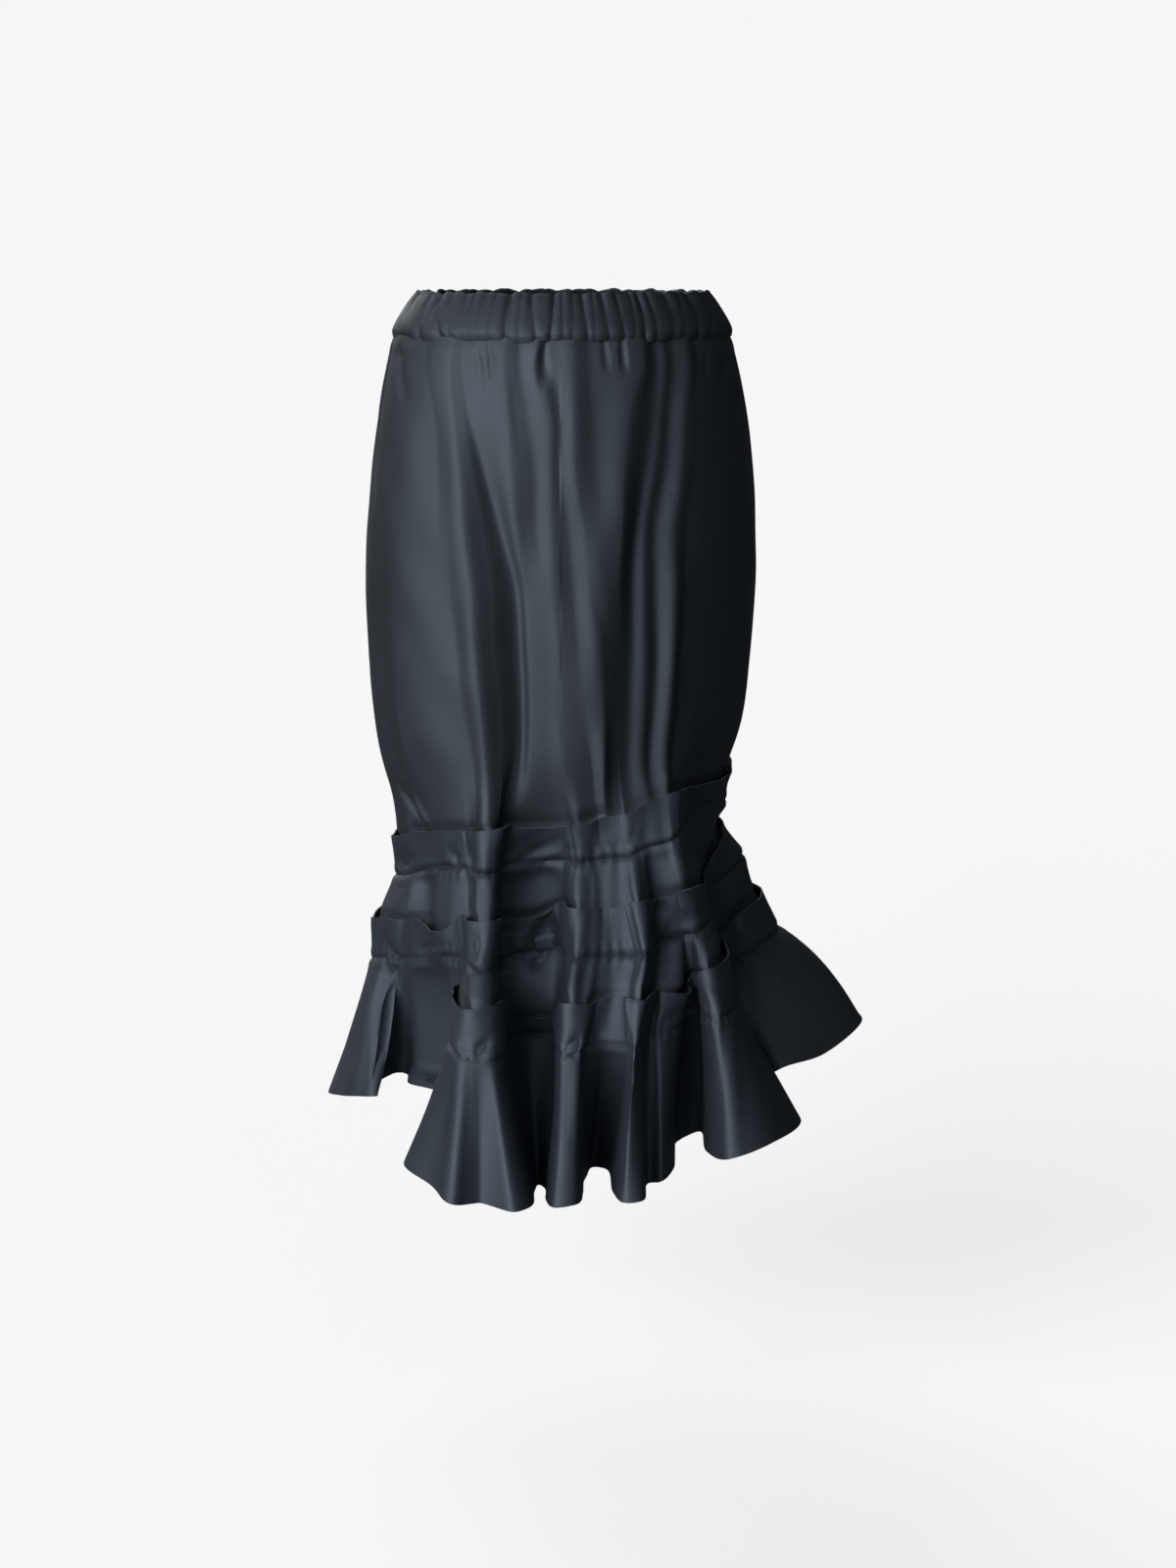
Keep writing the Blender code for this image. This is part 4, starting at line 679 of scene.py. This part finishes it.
SATIN_BAND = cloth("satin_band", (0.016, 0.018, 0.022), 0.56)
SATIN_BODY = cloth("satin_body", (0.018, 0.021, 0.026), 0.52)
SATIN_RUFFLE = cloth("satin_ruffle", (0.017, 0.021, 0.028), 0.57, spec=0.88)
RAW_EDGE = cloth("raw_edge", (0.075, 0.084, 0.100), 0.7, weave=1.0, edge=True)
THREAD = cloth("sewing_thread", (0.028, 0.031, 0.038), 0.5, pitch=0.0005)

PIECES = {}


def finish_piece(obj, nodes):
    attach(obj, "root")
    if nodes:
        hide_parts(*nodes)


# === waistband casing ===
def gather_at(az, f):
    """Depth of the casing's gathers; f runs from the seam (0) to the top edge (1)."""
    total = np.zeros(np.broadcast(az, f).shape)
    for top, low, depth, half in GATHERS:
        c = low + (top - low) * f
        off = np.abs((az - c + 180.0) % 360.0 - 180.0) / half
        total -= depth * np.exp(-(off ** 1.5) * 1.3)
    return total


def band():
    n = 1080
    az = np.arange(n) * 360.0 / n
    outer = np.linspace(0.0, 1.0, 22)
    rows = []
    seam_wave = 0.9 * np.sin(np.radians(az) * 9 + 0.6) + 0.6 * np.sin(np.radians(az) * 17 + 2.0)
    ripple_top = 0.7 * np.sin(np.radians(az) * 23 + 1.1) + 0.5 * np.sin(np.radians(az) * 41 + 0.2)
    pull = gather_at(az, np.ones(n))
    for f in outer:
        z = -19.6 + seam_wave * (1 - f) ** 2 + (39.2 - 0.55 * np.abs(pull) + ripple_top * f) * f
        zb = -20.0 + 40.0 * f
        p = oval(np.full(n, zb), az, BAND)
        p[:, :2] *= 1.0 - 0.034 * f ** 2.4
        g = gather_at(az, np.full(n, f))
        puff = 0.35 * np.sin(np.pi * min(1.0, f * 0.96 + 0.02)) ** 0.7 - 0.9 * (1 - f) ** 5 - 0.8 * f ** 8
        rows.append((p, az, puff + 0.78 * g * (0.75 + 0.25 * np.cos(2 * np.pi * f)) + 0.6, z))
    top = rows[-1]
    for a in (35, 70, 110, 145):
        r = math.radians(a)
        z = top[3] + 1.6 * math.sin(r)
        rows.append((top[0], az, top[2] - 1.6 * (1 - math.cos(r)), z))
    for f in np.linspace(1.0, 0.0, 10):
        zb = -20.0 + 40.0 * f
        p = oval(np.full(n, zb), az, BAND)
        p[:, :2] *= 1.0 - 0.034 * f ** 2.4
        g = gather_at(az, np.full(n, f)) * 0.6
        z = -19.6 + seam_wave * (1 - f) ** 2 + (39.2 - 0.55 * np.abs(pull) + ripple_top * f) * f
        rows.append((p, az, -4.6 + g + 1.0 * math.sin(math.pi * f), z))
    grid = []
    for p, a, off, z in rows:
        r = np.radians(a)
        q = p.copy()
        q[:, 0] += off * np.sin(r)
        q[:, 1] -= off * np.cos(r)
        q[:, 2] = z
        grid.append(q)
    G = np.stack(grid, 1)[:, ::-1]          # inner seam edge first, outer seam edge last
    C, R = G.shape[:2]
    lap = np.concatenate([G, G[:1]], 0)
    ring = np.concatenate([[0.0], np.cumsum(np.linalg.norm(np.diff(lap[:, R - 12], axis=0), axis=1))])
    down = np.concatenate([[0.0], np.cumsum(np.linalg.norm(np.diff(G[0], axis=0), axis=1))])
    uvg = np.stack(np.meshgrid(ring, np.concatenate([down, [down[-1] + 4.0]]), indexing="ij"), -1) * MM
    i = np.arange(C)[:, None]
    j = np.arange(R)[None, :]
    i2, j2 = (i + 1) % C, (j + 1) % R
    faces = np.stack([i * R + j + 0 * i2, i * R + j2, i2 * R + j2, i2 * R + j], -1).reshape(-1, 4)
    ui, uj = np.broadcast_to(i, (C, R)), np.broadcast_to(j, (C, R))
    uvs = np.stack([uvg[ui, uj], uvg[ui, uj + 1], uvg[ui + 1, uj + 1], uvg[ui + 1, uj]], 2).reshape(-1, 2)
    obj = mesh_of("waistband_casing", G.reshape(-1, 3), faces, uvs, [SATIN_BAND],
                  np.zeros(len(faces)), 65.0)
    finish_piece(obj, ["waistband"])
    return obj


# === body ===
def tuck(up, lap):
    """Hollow just above the free edge of a header, uneven along the strip."""
    deep = 2.3 + 0.9 * np.sin(lap / 17.0 + 1.3 * np.sin(lap / 41.0))
    return deep * np.where(up > 0, 1.0 - ease(up / (8.0 + 2.0 * np.sin(lap / 29.0))), ease(1.0 + up / 16.0))


def body_panel(name, m0, m1, nodes, flat_w):
    m = np.arange(m0, m1 + 1)
    az = POS[m % TURN] % 360.0
    k = body_low(m % TURN)
    low = ST[k][:, 2] - 1.0
    r = np.linspace(0.0, 1.0, 112)
    rows, zz = [], []
    for f in r:
        z = -17.0 + (low + 17.0) * f
        rows.append(body_at(m, z))
        zz.append(z)
    P = np.stack(rows, 1)
    Z = np.stack(zz, 1)
    A = np.repeat(az[:, None], len(r), 1)
    uv, area, w, h = flat_cut(P)
    D = body_creases(A, Z)
    # tucked in at the waist seam, full just under it
    d = -21.0 - Z
    D += -0.7 * np.exp(-np.maximum(0, d) / 1.6) + 0.3 * bell((d - 7.0) / 7.0) - 1.1 * ease(-d / 2.5)
    # ridges die out behind the header of the ruffle
    top = ST[k][:, 2][:, None] + 40.0
    D = np.where(D > 0, D * (0.25 + 0.75 * ease((Z - top + 4.0) / 10.0)), D * (0.2 + 0.8 * ease((Z - top + 30.0) / 30.0)))
    D += 0.5 * ripple(A * 2.6, Z, 3) * ease(d / 60.0)
    edge_z = (ST[k][:, 2] + path(HEADERS, k / SUB)[:, 0])[:, None]
    D -= tuck(Z - edge_z, A * 2.6)
    # side seams
    for edge in (0, -1):
        s = np.linalg.norm(P - P[edge][None], axis=2)
        D += -0.2 * np.exp(-(s / 3.0) ** 2)
    P = P + normals(P) * D[..., None]
    obj = shell(name, P, uv, [SATIN_BODY, RAW_EDGE])
    finish_piece(obj, nodes)
    return obj


# === ruffle ===
def lap_table():
    """Length along the strip at the stitch line and at the lower edge, at every column."""
    k = np.arange(K)
    rows = []
    for f in (0.0, 1.0):
        p = ST[k] if f == 0.0 else flounce_at(k, np.full(k.shape, f))
        step = np.linalg.norm(np.diff(p[:, :2], axis=0), axis=1)
        rows.append(np.concatenate([[0.0], np.cumsum(np.maximum(0.05, step))]))
    return k / SUB, rows[0], rows[1]


LAP_U, LAP_TOP, LAP_LOW = lap_table()


def lap_at(u, v):
    f = np.clip(v, 0.0, 1.0)
    return np.interp(u, LAP_U, LAP_TOP) * (1.0 - f) + np.interp(u, LAP_U, LAP_LOW) * f


def ruffle_creases(u, v):
    total = np.zeros(u.shape)
    here = lap_at(u, v)
    for _, pts in RUFFLE_CREASES:
        c = path(pts, v)
        mid, depth = lap_at(c[..., 0], v), c[..., 1]
        off = here - mid
        w = np.where(off < 0, mid - lap_at(c[..., 0] - c[..., 2], v), lap_at(c[..., 0] + c[..., 3], v) - mid)
        w = np.sqrt(w**2 + (np.where(np.abs(depth) > 8.5, 1.0, 2.3) * depth) ** 2 + 34.0)
        lo, hi = min(p[0] for p in pts), max(p[0] for p in pts)
        live = ease((v - lo + 0.05) / 0.05) * (1.0 if hi > 0.88 else ease((hi + 0.10 - v) / 0.10))
        live = live * np.where(lo * v < 0.0, 0.0, 1.0)
        total += live * depth * bell(off / np.maximum(0.8, w))
    cap = np.where(total > 0, 14.0, 17.0)
    return cap * np.tanh(total / cap)


def ruffle(name, k0, k1, node_name, rows_low):
    k = np.arange(k0, k1 + 1)
    u = k / SUB
    hp = path(HEADERS, u)
    H, stand = hp[:, 0], hp[:, 1]
    nh = 14
    hs = np.linspace(1.0, 0.0, nh + 1)[:-1]
    rows, base = [], []
    for f in hs:
        z = ST[k][:, 2] + H * f
        q = under(k, z)
        q = np.concatenate([q[:, :2], z[:, None]], 1)
        gap = LAYER_K[k] + (1.0 + HEADER_GAP * OPEN_K[k] + stand) * f ** 1.3
        rows.append(moved(q, NP[k], gap))
        up = np.minimum(k + TURN, K - 1)
        base.append((ST[up][:, 2] - z) / (ST[up][:, 2] - flounce_low(up)[:, 2]))
    fs = np.linspace(0.0, 1.0, rows_low)
    for f in fs:
        rows.append(flounce_at(k, np.full(k.shape, f)))
    P = np.stack(rows, 1)
    V = np.repeat(np.concatenate([-hs, fs])[None], len(k), 0)
    U = np.repeat(u[:, None], V.shape[1], 1)
    uv, area, w, h = flat_cut(P)
    seg = np.concatenate([np.zeros((len(k), 1)),
                          np.cumsum(np.linalg.norm(np.diff(P, axis=1), axis=2), 1)], 1)
    s = seg - seg[:, nh:nh + 1]               # distance down from the stitch line
    lap = np.concatenate([[0.0], np.cumsum(np.linalg.norm(np.diff(P[:, nh], axis=0), axis=1))])
    S = np.repeat((lap + k0 * 1.7)[:, None], V.shape[1], 1)
    D = ruffle_creases(U, V)
    # ridges sink behind the header of the turn below
    low = np.maximum(k - TURN, 0)
    zt = ST[low][:, 2] + path(HEADERS, low / SUB)[:, 0]
    hid = np.where((k >= TURN)[:, None], np.clip((zt[:, None] - P[..., 2]) / 38.0, 0.0, 1.0), 0.0)
    D = np.where((V > 0) & (D > 0), D * np.maximum(0.0, 1.0 - hid) ** 0.9, D)
    D -= np.where((k >= TURN)[:, None] & (V > 0.1), tuck(P[..., 2] - zt[:, None], S), 0.0)
    # groove of the stitch line, and its uneven little puckers
    D += -1.7 * np.exp(-(s / 2.0) ** 2) + 0.5 * bell((np.abs(s) - 6.0) / 6.0)
    puck = np.sin(S * 2 * np.pi / 9.7 + 2.0 * np.sin(S / 31.0)) * (0.5 + 0.5 * np.sin(S / 23.0 + 1.0))
    D += 0.8 * puck * np.exp(-np.abs(s) / 8.0)
    D += 0.45 * ripple(S, s, 11) * ease(np.abs(s) / 12.0)
    # a header follows the folds of what lies under it, more over ridges than over hollows
    az = np.repeat((POS[k % TURN] % 360.0)[:, None], nh, 1)
    over = np.where((k + TURN >= K)[:, None], body_lines(az, P[:, :nh, 2]),
                    ruffle_creases(U[:, :nh] + ROWS, np.clip(np.stack(base, 1), 0.0, 1.0)))
    D[:, :nh] += np.where(over > 0, 0.6, 0.25) * over * np.maximum(0.0, -V[:, :nh]) ** 0.8
    # the free edge waves a little
    D += 0.8 * np.sin(S * 2 * np.pi / 43.0 + 1.7 * np.sin(S / 57.0)) * ease((-V - 0.4) / 0.6)
    P = P + normals(P) * D[..., None]
    obj = shell(name, P, uv, [SATIN_RUFFLE, RAW_EDGE])
    finish_piece(obj, [node_name])
    return obj


def panels():
    band()
    body_panel("body_front_cloth", LEFT, TURN + SIDE, ["body_front"], 0)
    body_panel("body_back_cloth", SIDE, LEFT, ["body_back"], 0)
    ruffle("ruffle_low_front_cloth", 0, RIGHT, "ruffle_low_front", 34)
    ruffle("ruffle_low_back_cloth", RIGHT, LEFT, "ruffle_low_back", 30)
    ruffle("ruffle_mid_front_cloth", LEFT, TURN + RIGHT, "ruffle_mid_front", 24)
    ruffle("ruffle_mid_back_cloth", TURN + RIGHT, TURN + LEFT, "ruffle_mid_back", 22)
    ruffle("ruffle_top_front_cloth", TURN + LEFT, 2 * TURN + RIGHT, "ruffle_top_front", 24)
    ruffle("ruffle_top_back_cloth", 2 * TURN + RIGHT, END, "ruffle_top_back", 22)


panels()


# === camera, floor and light ===
cam_data = bpy.data.cameras.new("camera")
cam_data.lens = 71.19
cam_data.sensor_width = 36.0
cam_data.sensor_fit = "AUTO"
cam = bpy.data.objects.new("camera", cam_data)
cam.location = (0.0235, -2.8, 0.0743)
cam.rotation_euler = (math.radians(90.0 - 10.13), 0.0, 0.0)
bpy.context.scene.collection.objects.link(cam)
bpy.context.scene.camera = cam

floor_mesh = bpy.data.meshes.new("floor")
floor_mesh.from_pydata([(-40, -40, -0.97), (40, -40, -0.97), (40, 40, -0.97), (-40, 40, -0.97)], [], [(0, 1, 2, 3)])
floor = bpy.data.objects.new("floor", floor_mesh)
bpy.context.scene.collection.objects.link(floor)
fm = bpy.data.materials.new("pale_floor")
fm.use_nodes = True
fb = fm.node_tree.nodes["Principled BSDF"]
fb.inputs["Base Color"].default_value = (0.60, 0.60, 0.60, 1.0)
fb.inputs["Roughness"].default_value = 0.9
fb.inputs["Specular IOR Level"].default_value = 0.0
fb.inputs["Emission Color"].default_value = (1.0, 1.0, 1.0, 1.0)
fb.inputs["Emission Strength"].default_value = 0.62
floor_mesh.materials.append(fm)
floor.visible_diffuse = False
floor.visible_glossy = False


def sun(name, direction, strength, angle, colour=(1.0, 1.0, 1.0)):
    from mathutils import Vector
    d = bpy.data.lights.new(name, "SUN")
    d.energy = strength
    d.angle = math.radians(angle)
    d.color = colour
    o = bpy.data.objects.new(name, d)
    o.rotation_euler = Vector(direction).to_track_quat("-Z", "Y").to_euler()
    bpy.context.scene.collection.objects.link(o)
    return o


# direction = the way the light travels
sun("key", (0.70, 0.69, -0.20), 3.7, 62.0, (1.0, 0.99, 0.98))
sun("front_fill", (-0.30, 1.0, -0.35), 0.26, 60.0, (0.9, 0.95, 1.0))
sun("back", (0.45, -1.0, -0.6), 1.1, 40.0)

world = bpy.data.worlds.new("studio")
bpy.context.scene.world = world
world.use_nodes = True
wt = world.node_tree
wt.nodes.clear()
wo = node(wt, "ShaderNodeOutputWorld")
mixw = node(wt, "ShaderNodeMixShader")
soft = node(wt, "ShaderNodeBackground")
soft.inputs[0].default_value = (0.86, 0.93, 1.0, 1.0)
soft.inputs[1].default_value = 0.04
plain = node(wt, "ShaderNodeBackground")
plain.inputs[0].default_value = (1.0, 1.0, 1.0, 1.0)
plain.inputs[1].default_value = 0.922
lp = node(wt, "ShaderNodeLightPath")
wt.links.new(lp.outputs["Is Camera Ray"], mixw.inputs[0])
wt.links.new(soft.outputs[0], mixw.inputs[1])
wt.links.new(plain.outputs[0], mixw.inputs[2])
wt.links.new(mixw.outputs[0], wo.inputs[0])
bpy.context.scene.view_settings.view_transform = "Standard"
